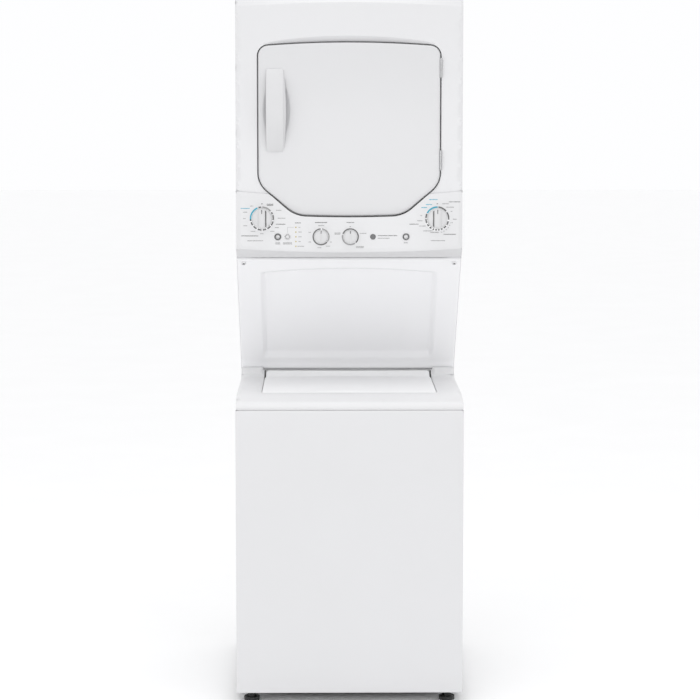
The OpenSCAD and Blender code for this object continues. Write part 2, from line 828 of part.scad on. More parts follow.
module door_inner() color(enamel) {
    face = door_back + 0.1;
    depth = 28;
    plug = mouth - [9, 9];
    difference() {
        union() {
            front_slab(face + 4, 4) door_shape(-4);
            front_slab(face + depth, depth) rounded_mouth(plug[0], plug[1], 72);
        }
        front_slab(face + depth - wall, depth) rounded_mouth(plug[0] - wall, plug[1] - wall, 69);
    }
}

module door_gasket() color([0.85, 0.85, 0.83]) {
    back = recess_back - 0.6;
    front = door_back + 4.1;
    front_slab(back, back - front) difference() {
        rounded_mouth(mouth[0] + 14, mouth[1] + 14, 92);
        rounded_mouth(mouth[0] + 5, mouth[1] + 5, 84);
    }
}

// Bowed bar; its ends stand on the door and its middle clears the fingers
module door_handle() color(plastic_white) {
    stand_out = 31;
    bar_t = 9;
    half_h = handle_h / 2;
    arc_r = (half_h * half_h + stand_out * stand_out) / (2 * stand_out);
    side_slab(handle_x - handle_w / 2, handle_w) intersection() {
        translate([door_y - stand_out + arc_r, handle_z]) difference() {
            circle(arc_r, $fn = 240);
            circle(arc_r - bar_t, $fn = 240);
        }
        translate([door_y - 60, handle_z - half_h]) square([60, handle_h]);
    }
}

// Knuckles share each hinge: the door's in the middle, the cabinet's at the ends
module door_hinge_arms() color(zinc) for (z = hinge_levels) difference() {
    union() {
        rod_z(hinge_x, hinge_line_y, z - leaf_h / 6 + 0.3, z + leaf_h / 6 - 0.3, 3);
        block([door_half + 0.05, hinge_line_y, z - leaf_h / 6 + 0.3],
              [door_half + 0.95, door_back - 1, z + leaf_h / 6 - 0.3]);
    }
    rod_z(hinge_x, hinge_line_y, z - leaf_h, z + leaf_h, 1.56);
}

module door_hinge_leaves() color(zinc) for (z = hinge_levels) {
    difference() {
        union() {
            rod_z(hinge_x, hinge_line_y, z - leaf_h / 2, z + leaf_h / 2, 3);
            block([door_half + door_gap - 1.1, hinge_line_y, z - leaf_h / 2],
                  [door_half + door_gap - 0.1, recess_back - 5, z + leaf_h / 2]);
        }
        rod_z(hinge_x, hinge_line_y, z - leaf_h / 6, z + leaf_h / 6, 4.2);
    }
    rod_z(hinge_x, hinge_line_y, z - leaf_h / 2, z + leaf_h / 2, 1.5);
}

// ---- console and controls ------------------------------------------------

module console() color(plastic_white) {
    back = dryer_front - 0.3;
    cavity = dryer_front + 1;
    chin_z = 1184.8;
    difference() {
        side_slab(-half_w, body_w) polygon([[back, 1364], [-217, 1363], [-222, 1338], [console_y, 1306],
            [console_y, 1216], [-225, console_low], [-189, chin_z], [-183, chin_z], [-183, console_low - 0.3],
            [back, console_low - 0.3]]);
        side_slab(-half_w + wall, body_w - 2 * wall) polygon([[cavity, 1361], [-215, 1360], [-219, 1338],
            [console_y + wall, 1304], [console_y + wall, 1218], [-222.5, 1208.5], [-188, chin_z + 4],
            [-182, chin_z + 4], [-182, console_low], [cavity, console_low]]);
        front_slab(0, 300) door_shape(door_gap);
        mirrored() block([inner_w - 0.3, dryer_front + front_tray - 0.3, dryer_z],
                         [half_w + 1, 0, console_low + 9]);
        for (x = [cycle_x, timer_x]) rod_y(x, dial_z, console_y - 1, button_y + 1, 3.06);
        for (x = [temperature_x, option_x]) rod_y(x, row_z, console_y - 1, button_y + 1, 3.06);
        for (x = [washer_start_x, dryer_start_x])
            rod_y(x, row_z, console_y - 1, button_y + 1, start_r + 0.35);
        rod_y(signal_x, row_z, console_y - 1, button_y + 1, signal_r + 0.35);
        for (i = [-2 : 2]) rod_y(led_x, row_z + led_pitch * i, console_y - 1, button_y + 1, led_r + 0.05);
    }
}

// A dial skirt, a knob on it, a raised grip and the shaft behind
module knob(x, z, skirt_r, depth) {
    base = console_y - 0.7;
    grip = 10;
    color([0.82, 0.83, 0.84]) rod_y(x, z, base - 3, base, skirt_r);
    color(plastic_white) rod_y(x, z, base - depth, base - 3, skirt_r * 0.84);
    color(plastic_white) block([x - grip / 2, base - depth - 6, z - skirt_r * 0.78],
                               [x + grip / 2, base - depth, z + skirt_r * 0.78]);
    color(zinc) rod_y(x, z, base, -198, 3);
}

module cycle_knob() knob(cycle_x, dial_z, dial_r, 16);
module timer_knob() knob(timer_x, dial_z, dial_r, 16);
module temperature_knob() knob(temperature_x, row_z, small_dial_r, 14);
module option_knob() knob(option_x, row_z, small_dial_r, 14);

module push_button(x, r) {
    rod_y(x, row_z, console_y - 4, button_y + 0.5, r);
    rod_y(x, row_z, button_y + 0.4, button_y + 3, r + 2);
}

module washer_start_button() color(zinc) push_button(washer_start_x, start_r);
module dryer_start_button() color(zinc) push_button(dryer_start_x, start_r);
module signal_button() color(plastic_white) push_button(signal_x, signal_r);

module indicator_lights() {
    color([0.9, 0.7, 0.2]) for (i = [-2 : 2])
        rod_y(led_x, row_z + led_pitch * i, console_y - 0.6, button_y, led_r);
    color(dark_plastic) rod_y(badge_x, row_z, console_y - 0.8, console_y, 7.5);
}

base_frame();
washer_cabinet();
washer_front_panel();
top_cover();
washer_lid();
foot_front_left();
foot_front_right();
foot_rear_left();
foot_rear_right();
suspension_rods();
suspension_springs();
outer_tub();
tub_cover();
drive_platform();
gearcase();
washer_motor();
washer_belt();
washer_drive_pulley();
washer_motor_pulley();
wash_basket();
balance_ring();
spin_tube();
agitator();
drain_pump();
inlet_valve();
bridge_panel();
cabinet_screws();
rear_panel();
dryer_stand();
dryer_cabinet();
dryer_front_panel();
dryer_bulkhead();
drum();
drum_baffles();
heater_box();
lint_duct();
lint_filter();
blower_housing();
blower_wheel();
exhaust_duct();
dryer_motor();
motor_shaft();
drum_belt();
idler_arm();
idler_pulley();
door_outer();
door_inner();
door_gasket();
door_handle();
door_hinge_arms();
door_hinge_leaves();
console();
cycle_knob();
timer_knob();
temperature_knob();
option_knob();
washer_start_button();
dryer_start_button();
signal_button();
indicator_lights();
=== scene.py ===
"""Looks of a stacked laundry centre: white enamel panels, moulded plastic and the parts inside.

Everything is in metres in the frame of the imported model: +X right, +Y back, +Z up, floor at z = 0."""
from math import asin, atan2, ceil, cos, pi, radians, sin, sqrt

import bmesh
import bpy
import numpy as np
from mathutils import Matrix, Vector
from mathutils.geometry import convex_hull_2d, delaunay_2d_cdt


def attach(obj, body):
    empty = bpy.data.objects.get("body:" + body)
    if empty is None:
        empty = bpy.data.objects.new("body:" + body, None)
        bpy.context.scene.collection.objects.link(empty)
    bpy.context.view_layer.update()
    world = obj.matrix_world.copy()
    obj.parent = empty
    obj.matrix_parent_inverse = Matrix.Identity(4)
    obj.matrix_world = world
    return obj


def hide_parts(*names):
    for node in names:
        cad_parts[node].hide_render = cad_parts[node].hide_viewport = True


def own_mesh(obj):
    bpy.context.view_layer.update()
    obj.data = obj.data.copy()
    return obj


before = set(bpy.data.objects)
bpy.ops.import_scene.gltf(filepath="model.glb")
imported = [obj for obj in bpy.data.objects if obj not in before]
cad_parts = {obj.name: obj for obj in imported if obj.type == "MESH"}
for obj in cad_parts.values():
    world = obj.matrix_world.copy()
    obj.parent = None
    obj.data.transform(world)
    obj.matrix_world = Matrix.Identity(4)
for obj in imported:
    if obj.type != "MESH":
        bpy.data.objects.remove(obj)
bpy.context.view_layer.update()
MM = 0.001
SCENE = bpy.context.scene


# ---- materials ----

class Shader:
    """A Principled material with its node tree, built step by step."""

    def __init__(self, name, rough, metal=0.0, **sockets):
        self.material = bpy.data.materials.new(name)
        self.material.use_nodes = True
        self.tree = self.material.node_tree
        self.bsdf = self.tree.nodes["Principled BSDF"]
        self.bsdf.inputs["Roughness"].default_value = rough
        self.bsdf.inputs["Metallic"].default_value = metal
        for socket, value in sockets.items():
            self.bsdf.inputs[socket.replace("_", " ")].default_value = value
        self.coordinates = self.tree.nodes.new("ShaderNodeTexCoord").outputs["Object"]
        self.height = None

    def add(self, kind, source, socket, **values):
        """A new node with source linked to one of its sockets and other sockets set."""
        made = self.tree.nodes.new(kind)
        for key, value in values.items():
            made.inputs[key.replace("_", " ")].default_value = value
        self.link(source, made.inputs[socket])
        return made

    def link(self, source, target):
        self.tree.links.new(source, target)

    def noise(self, scale, detail=4.0, stretch=(1, 1, 1)):
        mapping = self.add("ShaderNodeMapping", self.coordinates, "Vector", Scale=stretch)
        made = self.add("ShaderNodeTexNoise", mapping.outputs["Vector"], "Vector", Scale=scale, Detail=detail)
        return made.outputs["Fac"]

    def cells(self, scale):
        return self.add("ShaderNodeTexVoronoi", self.coordinates, "Vector", Scale=scale).outputs["Color"]

    def colour(self, source, low, high, start=0.35, end=0.65):
        made = self.add("ShaderNodeValToRGB", source, "Fac")
        for element, position, tone in zip(made.color_ramp.elements, (start, end), (low, high)):
            element.position, element.color = position, (*tone, 1)
        self.link(made.outputs["Color"], self.bsdf.inputs["Base Color"])

    def roughness(self, source, low, high):
        made = self.add("ShaderNodeMapRange", source, "Value", To_Min=low, To_Max=high)
        self.link(made.outputs["Result"], self.bsdf.inputs["Roughness"])

    def bump(self, source, strength, distance):
        made = self.add("ShaderNodeBump", source, "Height", Strength=strength, Distance=distance)
        if self.height is not None:
            self.link(self.height, made.inputs["Normal"])
        self.height = made.outputs["Normal"]
        self.link(self.height, self.bsdf.inputs["Normal"])


def grey(value, tint=0.0):
    return (value, value, value * (1 + tint))


def surface(name, tones, rough, mottle, wear, grains, metal=0.0, stretch=(1, 1, 1), **sockets):
    """Two tones mottled together, uneven roughness and layers of grain.

    mottle is (scale, detail), wear (scale, detail, low share, high share) and each grain
    (scale, detail, strength, distance)."""
    made = Shader(name, rough, metal, **sockets)
    made.colour(made.noise(*mottle), *tones)
    if wear:
        scale, detail, low, high = wear
        made.roughness(made.noise(scale, detail, stretch), rough * low, min(rough * high, 1))
    for scale, detail, strength, distance in grains:
        made.bump(made.noise(scale, detail, stretch), strength, distance)
    return made.material


def painted(name, value, rough, peel=520.0):
    """Baked enamel on steel: faint orange peel, faint drift of tone and a clear gloss."""
    return surface(name, (grey(value * 0.985, 0.012), grey(value, 0.015)), rough, (2.2, 3),
                   (9, 5, 0.9, 1.15), ((peel, 2, 0.06, 0.0004), (14, 1, 0.05, 0.0006)),
                   Coat_Weight=0.25, Coat_Roughness=0.12, IOR=1.5)


def moulded(name, low, high, rough, grain=1500.0, strength=0.10):
    """Injection-moulded plastic with a fine spark-eroded grain."""
    return surface(name, (low, high), rough, (6, 4), (60, 5, 0.88, 1.12),
                   ((grain, 2, strength, 0.0003),), IOR=1.49)


def galvanised(name, value, rough):
    """Zinc-coated sheet: soft spangles under fine rolling lines."""
    zinc = Shader(name, rough, 1)
    zinc.colour(zinc.cells(55), grey(value * 0.86, 0.02), grey(value, 0.015), 0.1, 0.9)
    zinc.roughness(zinc.noise(40, 5), rough * 0.75, rough * 1.3)
    zinc.bump(zinc.noise(300, 3, (1, 1, 0.04)), 0.08, 0.0003)
    return zinc.material


def machined(name, value, rough, stretch=(1, 1, 14)):
    """Plated or turned metal with fine drawn lines."""
    return surface(name, (grey(value * 0.9, 0.01), grey(value, 0.012)), rough, (25, 5), (240, 4, 0.7, 1.3),
                   ((900, 3, 0.07, 0.0002),), 1, stretch)


def printed(name, low, high):
    """Screen-printed ink: slightly mottled and matt."""
    return surface(name, (low, high), 0.45, (260, 3), None, ((1800, 2, 0.08, 0.0001),))


ENAMEL = painted("enamel", 0.695, 0.30)
# Lighter copy of the enamel for the bridge: painted light that lifts the shade under the dryer's overhang.
ENAMEL_BRIDGE_LIGHTENED = painted("bridge_enamel_painted_light", 0.83, 0.42)
ENAMEL_DOOR = painted("door_enamel", 0.645, 0.30)
ENAMEL_DARK = painted("inner_enamel", 0.76, 0.38)
# The white plastic is kept lighter than the cover's: painted light that lifts the lid out of the shade under the
# dryer.
PLASTIC = moulded("white_plastic", grey(0.865, 0.006), grey(0.88, 0.006), 0.55)
CONSOLE_PLASTIC = moulded("console_plastic", grey(0.685, 0.010), grey(0.705, 0.012), 0.34, 1900, 0.07)
# Darker copy of the console plastic for the chin: painted shade on the down-facing slope.
CHIN_SHADED_PLASTIC = moulded("chin_painted_shade", grey(0.63, 0.012), grey(0.65, 0.014), 0.42, 1900, 0.07)
KNOB_PLASTIC = moulded("knob_plastic", grey(0.61, 0.008), grey(0.65, 0.008), 0.30, 1600, 0.08)
HANDLE_PLASTIC = moulded("handle_plastic", grey(0.62, 0.010), grey(0.64, 0.012), 0.36, 1400, 0.07)
# Darker copy of the white plastic for the top cover: painted shade that tones down its up-facing deck under the
# top light.
COVER_PLASTIC_SHADED = moulded("cover_plastic_painted_shade", grey(0.74, 0.008), grey(0.755, 0.010), 0.40)
TUB_PLASTIC = moulded("tub_plastic", grey(0.60, 0.02), grey(0.66, 0.02), 0.48, 500, 0.18)
GREY_PLASTIC = moulded("grey_plastic", grey(0.30, 0.02), grey(0.36, 0.02), 0.55, 700, 0.2)
DARK_PLASTIC = moulded("dark_plastic", grey(0.016), grey(0.028), 0.48, 900, 0.2)
ZINC = galvanised("zinc", 0.66, 0.36)
STEEL = machined("plated_steel", 0.74, 0.26)
DARK_CHROME = machined("dark_chrome", 0.26, 0.30)
HINGE_STEEL = machined("hinge_steel", 0.50, 0.34)
BASKET = painted("basket_porcelain", 0.74, 0.22, 300)
RUBBER = surface("rubber", (grey(0.012), grey(0.03)), 0.75, (70, 6), (150, 4, 0.85, 1.2),
                 ((800, 5, 0.25, 0.0004),))
LAMP = moulded("lamp_lens", (0.40, 0.32, 0.05), (0.52, 0.42, 0.10), 0.2, 400, 0.05)
SHADOW = moulded("gap_shadow", grey(0.05), grey(0.08), 0.8, 500, 0.2)
# Dark ink for the printing, also used for the painted shadow line beside the large knobs' grips.
INK_AND_SHADOW_GREY = printed("ink_grey_and_painted_shadow", grey(0.10), grey(0.14))
INK_PALE = printed("ink_pale", grey(0.27), grey(0.34))
INK_TEAL = printed("ink_teal", (0.02, 0.33, 0.47), (0.04, 0.40, 0.54))
RING_SILVER = machined("ring_silver", 0.62, 0.34, (6, 1, 6))
BADGE = moulded("badge_grey", grey(0.12, 0.03), grey(0.15, 0.03), 0.3, 900, 0.05)
FLOOR = surface("studio_floor", (grey(0.975), grey(0.985)), 0.7, (3, 5), None, ((120, 3, 0.05, 0.001),))


# ---- mesh helpers ----

def turns(count):
    """Even angles once round."""
    return np.linspace(0, 2 * pi, count, endpoint=False)


def metres(points):
    return [(x * MM, y * MM, z * MM) for x, y, z in points]


def standing(outline, y):
    """An outline (x, z) at depth y, in metres. y may be a function of x and z."""
    return metres((x, y(x, z) if callable(y) else y, z) for x, z in outline)


def lying(outline, z):
    """An outline (x, y) at height z, in metres."""
    return metres((x, y, z) for x, y in outline)


def onto(depth):
    """Maps single points (x, z) as standing does."""
    return lambda x, z: standing([(x, z)], depth)[0]


def inside(points, outline):
    """Which 2D points lie inside a closed outline."""
    points, outline = np.asarray(points, float), np.asarray(outline, float)
    hit = np.zeros(len(points), bool)
    for (x0, z0), (x1, z1) in zip(outline, np.roll(outline, -1, axis=0)):
        if z0 == z1:
            continue
        spans = (points[:, 1] > min(z0, z1)) & (points[:, 1] <= max(z0, z1))
        cut = x0 + (points[:, 1] - z0) * (x1 - x0) / (z1 - z0)
        hit ^= spans & (points[:, 0] < cut)
    return hit


def clear_of(points, rim, reach):
    """Which points are further than reach from every rim point."""
    far = []
    for start in range(0, len(points), 1500):
        part = points[start:start + 1500]
        far.append(((part[:, None, :] - rim[None, :, :]) ** 2).sum(2).min(1) > reach * reach)
    return np.concatenate(far)


class Skin:
    """One mesh put together from loops of points, bands between them and filled outlines."""

    def __init__(self):
        self.points, self.faces = [], []

    def loop(self, points):
        start = len(self.points)
        self.points += map(tuple, points)
        return list(range(start, len(self.points)))

    def band(self, first, second, closed=True):
        count = len(first)
        for i in range(count if closed else count - 1):
            j = (i + 1) % count
            self.faces.append((first[i], first[j], second[j], second[i]))

    def rings(self, loops, closed=True):
        made = [self.loop(points) for points in loops]
        for first, second in zip(made, made[1:]):
            self.band(first, second, closed)
        return made

    def solid(self, loops):
        """Closed loops joined one to the next, with a cap on each end."""
        made = self.rings(loops)
        self.faces += [tuple(made[0]), tuple(made[-1])]

    def fill(self, outer, holes, place, spacing, creases=()):
        """Triangulates the inside of outer, less the holes; edges follow the creases.

        Each loop is (indices, 2D points) and place maps a 2D point to the frame."""
        flat, owners, edges = [], [], []
        for ids, points in [outer, *holes, *((None, crease) for crease in creases)]:
            base, count = len(flat), len(points)
            flat += map(tuple, points)
            owners += ids or self.loop(place(*p) for p in points)
            edges += [(base + i, base + (i + 1) % count) for i in range(count if ids else count - 1)]
        outline, rim = np.array(outer[1], float), np.array(flat, float)
        low, high = outline.min(0), outline.max(0)
        rows = np.arange(low[1], high[1], spacing * 0.866)
        grid = np.array([(x + (k % 2) * spacing / 2, z) for k, z in enumerate(rows)
                         for x in np.arange(low[0], high[0], spacing)])
        good = inside(grid, outline)
        for _, hole in holes:
            good &= ~inside(grid, hole)
        grid = grid[good]
        grid = grid[clear_of(grid, rim, spacing * 0.62)]
        owners += self.loop(place(x, z) for x, z in grid)
        flat += map(tuple, grid)
        made, _, triangles, origin, _, _ = delaunay_2d_cdt([Vector(p) for p in flat], edges, [], 0, 1e-7)
        centres = np.array([sum((made[v] for v in t), Vector((0, 0))) / 3 for t in triangles])
        good = inside(centres, outline)
        for _, hole in holes:
            good &= ~inside(centres, hole)
        for triangle, keep in zip(triangles, good):
            if keep:
                self.faces.append(tuple(owners[origin[v][0]] for v in triangle))

    def build(self, name, material, body, slot, facing=None, thick=0.0, sharp=30.0):
        """Makes the object. facing is the way its outside looks; thick gives an open skin its metal."""
        mesh = bpy.data.meshes.new(name)
        mesh.from_pydata([Vector(p) for p in self.points], [], self.faces)
        work = bmesh.new()
        work.from_mesh(mesh)
        bmesh.ops.remove_doubles(work, verts=work.verts, dist=2e-6)
        bmesh.ops.delete(work, geom=[v for v in work.verts if not v.link_faces], context="VERTS")
        bmesh.ops.recalc_face_normals(work, faces=work.faces)
        if facing:
            total = sum((f.normal * f.calc_area() for f in work.faces), Vector())
            if total.dot(Vector(facing)) < 0:
                bmesh.ops.reverse_faces(work, faces=work.faces)
        work.to_mesh(mesh)
        work.free()
        mesh.shade_smooth()
        mesh.set_sharp_from_angle(angle=radians(sharp))
        made = bpy.data.objects.new(name, mesh)
        SCENE.collection.objects.link(made)
        mesh.materials.append(material)
        if thick:
            solid = made.modifiers.new("metal", "SOLIDIFY")
            solid.thickness, solid.offset = thick, -1
        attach(made, body)
        return made


def resample(points, count):
    """The same closed outline with points spread evenly along it."""
    ring = np.array(points + points[:1], float)
    steps = np.hypot(*np.diff(ring, axis=0).T)
    along = np.concatenate([[0], np.cumsum(steps)])
    wanted = np.linspace(0, along[-1], count, endpoint=False)
    return np.stack([np.interp(wanted, along, ring[:, k]) for k in (0, 1)], 1)


def outward(ring):
    """Unit normals of an even, counterclockwise outline, smoothed a little."""
    run = np.roll(ring, -1, axis=0) - np.roll(ring, 1, axis=0)
    normal = np.stack([run[:, 1], -run[:, 0]], 1)
    normal /= np.hypot(*normal.T)[:, None]
    for _ in range(2):
        normal = normal + np.roll(normal, 1, axis=0) + np.roll(normal, -1, axis=0)
        normal /= np.hypot(*normal.T)[:, None]
    return normal


def round_box(box, r, inset=0.0, side=24, corner=8):
    """Counterclockwise outline, shrunk by inset, with the same number of points whatever its size."""
    x0, x1, z0, z1 = box[0] + inset, box[1] - inset, box[2] + inset, box[3] - inset
    r -= inset
    points = []
    corners = [(x1 - r, z0 + r, -90), (x1 - r, z1 - r, 0), (x0 + r, z1 - r, 90), (x0 + r, z0 + r, 180)]
    for (cx, cz, start), (nx, nz, turn) in zip(corners, corners[1:] + corners[:1]):
        arc = [radians(start + 90 * k / corner) for k in range(corner + 1)]
        points += [(cx + r * cos(a), cz + r * sin(a)) for a in arc]
        out = (nx + r * cos(radians(turn)), nz + r * sin(radians(turn)))
        last = points[-1]
        points += [(last[0] + (out[0] - last[0]) * k / side, last[1] + (out[1] - last[1]) * k / side)
                   for k in range(1, side)]
    return points


def smooth(t):
    t = min(max(t, 0), 1)
    return t * t * (3 - 2 * t)


def lathe(name, profile, place, material, body, slot, steps=72, sharp=30.0):
    """Turns (radius, height) points in mm round an axis; place maps the turned points, in metres, to the frame."""
    skin = Skin()
    rings = []
    for r, h in ((r * MM, h * MM) for r, h in profile):
        if r < 1e-7:
            rings.append(skin.loop([place(0, 0, h)]) * steps)
        else:
            rings.append(skin.loop(place(r * cos(a), r * sin(a), h) for a in turns(steps)))
    for first, second in zip(rings, rings[1:]):
        for i in range(steps):
            j = (i + 1) % steps
            face = dict.fromkeys((first[i], first[j], second[j], second[i]))
            if len(face) > 2:
                skin.faces.append(tuple(face))
    return skin.build(name, material, body, slot, sharp=sharp)


def facing_front(x, y, z):
    """Turned points stand on a front face at (x, y, z) mm, with height towards the user."""
    return lambda a, b, h: (x * MM + a, y * MM - h, z * MM + b)


def dress(nodes, material, bevel=0.0006):
    """Gives carried-over nodes a material and softened edges."""
    for name in nodes.split():
        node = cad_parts[name]
        for place in node.material_slots:
            place.material = material
        if not node.material_slots:
            node.data.materials.append(material)
        if bevel:
            edge = node.modifiers.new("softened_edges", "BEVEL")
            edge.width, edge.segments = bevel, 2
            edge.limit_method, edge.angle_limit = "ANGLE", radians(40)


# ---- dryer door ----

DOOR_CORNERS = ((214, 1721, 27), (181, 1412, 60), (112, 1380.5, 81))
DOOR_POINTS = 280
DOOR_MID, DOOR_HALF_W, DOOR_HALF_H = 1529, 241, 227
DOOR_FACE, DOOR_BACK, DOOR_CROWN = -219, -204.3, 2.2
HANDLE_X, HANDLE_Z, HANDLE_W, HANDLE_H = -196.5, 1577.5, 47, 219


def door_base():
    points = [(side * x + r * cos(a), z + r * sin(a)) for x, z, r in DOOR_CORNERS
              for side in (-1, 1) for a in turns(96)]
    for t in np.linspace(-1, 1, 49):
        points += [(214 * t, 1748 + 8 * (1 - t * t)), (112 * t, 1299.5 - 2 * (1 - t * t))]
    return resample([points[i] for i in convex_hull_2d([Vector(p) for p in points])], DOOR_POINTS)


DOOR_RING = door_base()
DOOR_OUT = outward(DOOR_RING)


def door_outline(gap):
    return DOOR_RING + DOOR_OUT * gap


def door_face(x, z):
    """The door's outer face: a shallow crown that dies away at the edges."""
    u, v = min(abs(x) / DOOR_HALF_W, 1), min(abs(z - DOOR_MID) / DOOR_HALF_H, 1)
    return DOOR_FACE - DOOR_CROWN * (1 - u ** 4) * (1 - v ** 4)


def lens(grow):
    """The finger pocket behind the handle, a pointed oval."""
    w, h = 76 + 2 * grow, 206 + 2 * grow
    r = (h * h + w * w) / (4 * w)
    half = asin(min(h / 2 / r, 1))
    return [(HANDLE_X + 4 + side * (r * cos(a) - r + w / 2), HANDLE_Z + side * r * sin(a))
            for side in (1, -1) for a in half * np.linspace(-1, 1, 36, endpoint=False)]


skin = Skin()
loops = []
for gap, y in ((0, DOOR_BACK), (0, -213.2), (-0.5, -215.6), (-1.6, -217.6), (-3.2, -218.7), (-5.2, DOOR_FACE)):
    share = (y - DOOR_BACK) / (DOOR_FACE - DOOR_BACK)
    loops.append(metres((x, y + share * (door_face(x, z) - DOOR_FACE), z) for x, z in door_outline(gap)))
made = skin.rings(loops)
POCKET_DEPTH = 9.8
pocket = [(0, 0), (-1.5, 0.25), (-3.5, 1), (-7, 3.1), (-12, 6.6), (-17, 8.8), (-22, 9.6)]
walls = skin.rings([standing(lens(grow), lambda x, z: door_face(x, z) + drop) for grow, drop in pocket])
skin.fill((made[-1], door_outline(-5.2)), [(walls[0], lens(0))], onto(door_face), 12)
skin.fill((walls[-1], lens(-22)), [], onto(lambda x, z: door_face(x, z) + POCKET_DEPTH), 6)
door_skin = skin.build("door_skin", ENAMEL_DOOR, "door", "enamel", (0, -1, 0), thick=0.001)
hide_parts("door_outer")

# The handle: a bowed bar, flat ended, with a tapered side towards the pocket
HANDLE_BOW, HANDLE_ROUND, HANDLE_TAPER = 28, 2.6, 5.5
skin = Skin()
loops = []
r, left, right = HANDLE_ROUND, -HANDLE_W / 2, HANDLE_W / 2
for t in np.linspace(-1, 1, 61):
    bow = 1 - t * t
    front = -221.5 - HANDLE_BOW * bow ** 0.92
    back = min(front + 8.5 + 5.5 * abs(t) ** 3, -218.6)
    end = 1 - max(abs(t) - 0.985, 0) / 0.015 * 0.04
    taper = HANDLE_TAPER * bow
    outline = [(left, back), (left, front + r), (left + r * 0.3, front + r * 0.3), (left + r, front)]
    outline += [(left + r + (HANDLE_W - 3.4 * r) * s, front - 0.9 * sin(pi * s))
                for s in (0.2, 0.4, 0.6, 0.8)]
    outline += [(right - 2.4 * r, front), (right - 0.8 * r, front + 0.5 * r), (right, front + 1.6 * r)]
    outline += [(right + taper - (HANDLE_W + taper) * s, back) for s in (0, 0.25, 0.5, 0.75)]
    loops.append(lying(((HANDLE_X + x * end, y) for x, y in outline), HANDLE_Z + t * HANDLE_H / 2))
skin.solid(loops)
handle = skin.build("handle_bar", HANDLE_PLASTIC, "door", "white_plastic", sharp=35)
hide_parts("door_handle")


# ---- dryer front panel ----

PANEL_Y, PANEL_BACK, PANEL_HALF, PANEL_BOTTOM = -213, -196.3, 301.5, 1206.2
RECESS_GAP, RECESS_FLOOR = 3, -191
THROAT_R, DRUM_Z = 226, 1530
SCOOP_RISE, SCOOP_SLOPE, SCOOP_HALF, HEAD_Z = 15, 0.58, 226, 1876


def head_line(x):
    """Lower edge of the up-facing bevel along the dryer's head."""
    return 1849.0 + 12.0 * (1 - (x / PANEL_HALF) ** 2)


def panel_face(x, z):
    """Front of the dryer panel: flat, bevelled back at the head, rounded at the sides."""
    line = head_line(x)
    y = PANEL_Y
    if z > line:
        y += 9.8 * (z - line) / (HEAD_Z - line)
    side = (PANEL_HALF - abs(x)) / 5
    if side < 1:
        y += 4.2 * (1 - sqrt(max(1 - (1 - side) ** 2, 0)))
    return min(y, -203.2)


def brow(x):
    """Top of the gap round the door."""
    return 1748 + RECESS_GAP + 8 * max(1 - (x / 214) ** 2, 0)


def scoop(x, z):
    """How far the crescent above the door sinks into the panel."""
    t = x / SCOOP_HALF
    if abs(t) >= 1 or z < 1640:
        return 0
    rise = SCOOP_RISE * sqrt(1 - t * t)
    if z >= brow(x) + rise:
        return 0
    return SCOOP_SLOPE * min(brow(x) + rise - z, rise)


def scooped(x, z):
    return panel_face(x, z) + scoop(x, z)


corner = 9
right = [(PANEL_HALF, z) for z in np.linspace(PANEL_BOTTOM, HEAD_Z - corner, 55)[1:]]
right += [(PANEL_HALF + corner * (cos(a) - 1), HEAD_Z + corner * (sin(a) - 1))
          for a in np.linspace(0, pi / 2, 9)[1:]]
border = [(x, PANEL_BOTTOM) for x in np.linspace(-PANEL_HALF, PANEL_HALF, 45)] + right
border += [(x, HEAD_Z) for x in np.linspace(PANEL_HALF - corner, corner - PANEL_HALF, 45)[1:-1]]
border += [(-x, z) for x, z in right[::-1]]
skin = Skin()
outer = skin.loop(standing(border, panel_face))
skin.band(outer, skin.loop(standing(border, PANEL_BACK)))
loops = []
for gap, drop in ((4.4, 0), (3.7, 0.2), (3.2, 0.9), (RECESS_GAP, 2.2), (RECESS_GAP, 8)):
    loops.append(standing(door_outline(gap), lambda x, z: min(scooped(x, z) + drop, RECESS_FLOOR)))
loops.append(standing(door_outline(RECESS_GAP), RECESS_FLOOR))
walls = skin.rings(loops)
creases = [[(SCOOP_HALF * t, brow(SCOOP_HALF * t) + lift * sqrt(1 - t * t)) for t in np.linspace(-0.94, 0.94, 90)]
           for lift in (SCOOP_RISE, SCOOP_RISE + 1.5)]
creases += [[(x, head_line(x) + lift) for x in np.linspace(-296, 296, 70)] for lift in (0, 3)]
skin.fill((outer, border), [(walls[0], door_outline(4.4))], onto(scooped), 9, creases)
mouth = round_box((-180, 180, DRUM_Z - 170, DRUM_Z + 170), 80)
mouth_walls = skin.rings([metres((x * s, y, DRUM_Z + (z - DRUM_Z) * s) for x, z in mouth)
                          for s, y in ((1, RECESS_FLOOR), (0.99, -190.2), (0.985, -187), (0.985, -172))])
skin.fill((walls[-1], door_outline(RECESS_GAP)), [(mouth_walls[0], mouth)], onto(RECESS_FLOOR), 16)
panel = skin.build("dryer_front_skin", ENAMEL, "cabinet", "enamel", (0, -1, 0), thick=0.001, sharp=22)

# Throat ring that the drum's front rim runs in, slotted below for the lint filter
skin = Skin()
SLOT_LOW, SLOT_HIGH, SLOT_HALF = -167, -151, 103
depths = [RECESS_FLOOR + 1, -180, SLOT_LOW, SLOT_HIGH, -142, -134, -132]
rings = [skin.loop(metres((r * cos(a), y, DRUM_Z + r * sin(a)) for a in turns(144)))
         for y, r in zip(depths, [THROAT_R + 1] * 5 + [THROAT_R + 0.6, THROAT_R])]
for y, first, second in zip(depths, rings, rings[1:]):
    for i, a in enumerate(turns(144)):
        j = (i + 1) % 144
        if not (y == SLOT_LOW and sin(a) < 0 and abs(THROAT_R * cos(a)) < SLOT_HALF):
            skin.faces.append((first[i], first[j], second[j], second[i]))
skin.build("dryer_throat", ZINC, "cabinet", "zinc", thick=0.0015)
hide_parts("dryer_front_panel")


# ---- control console ----

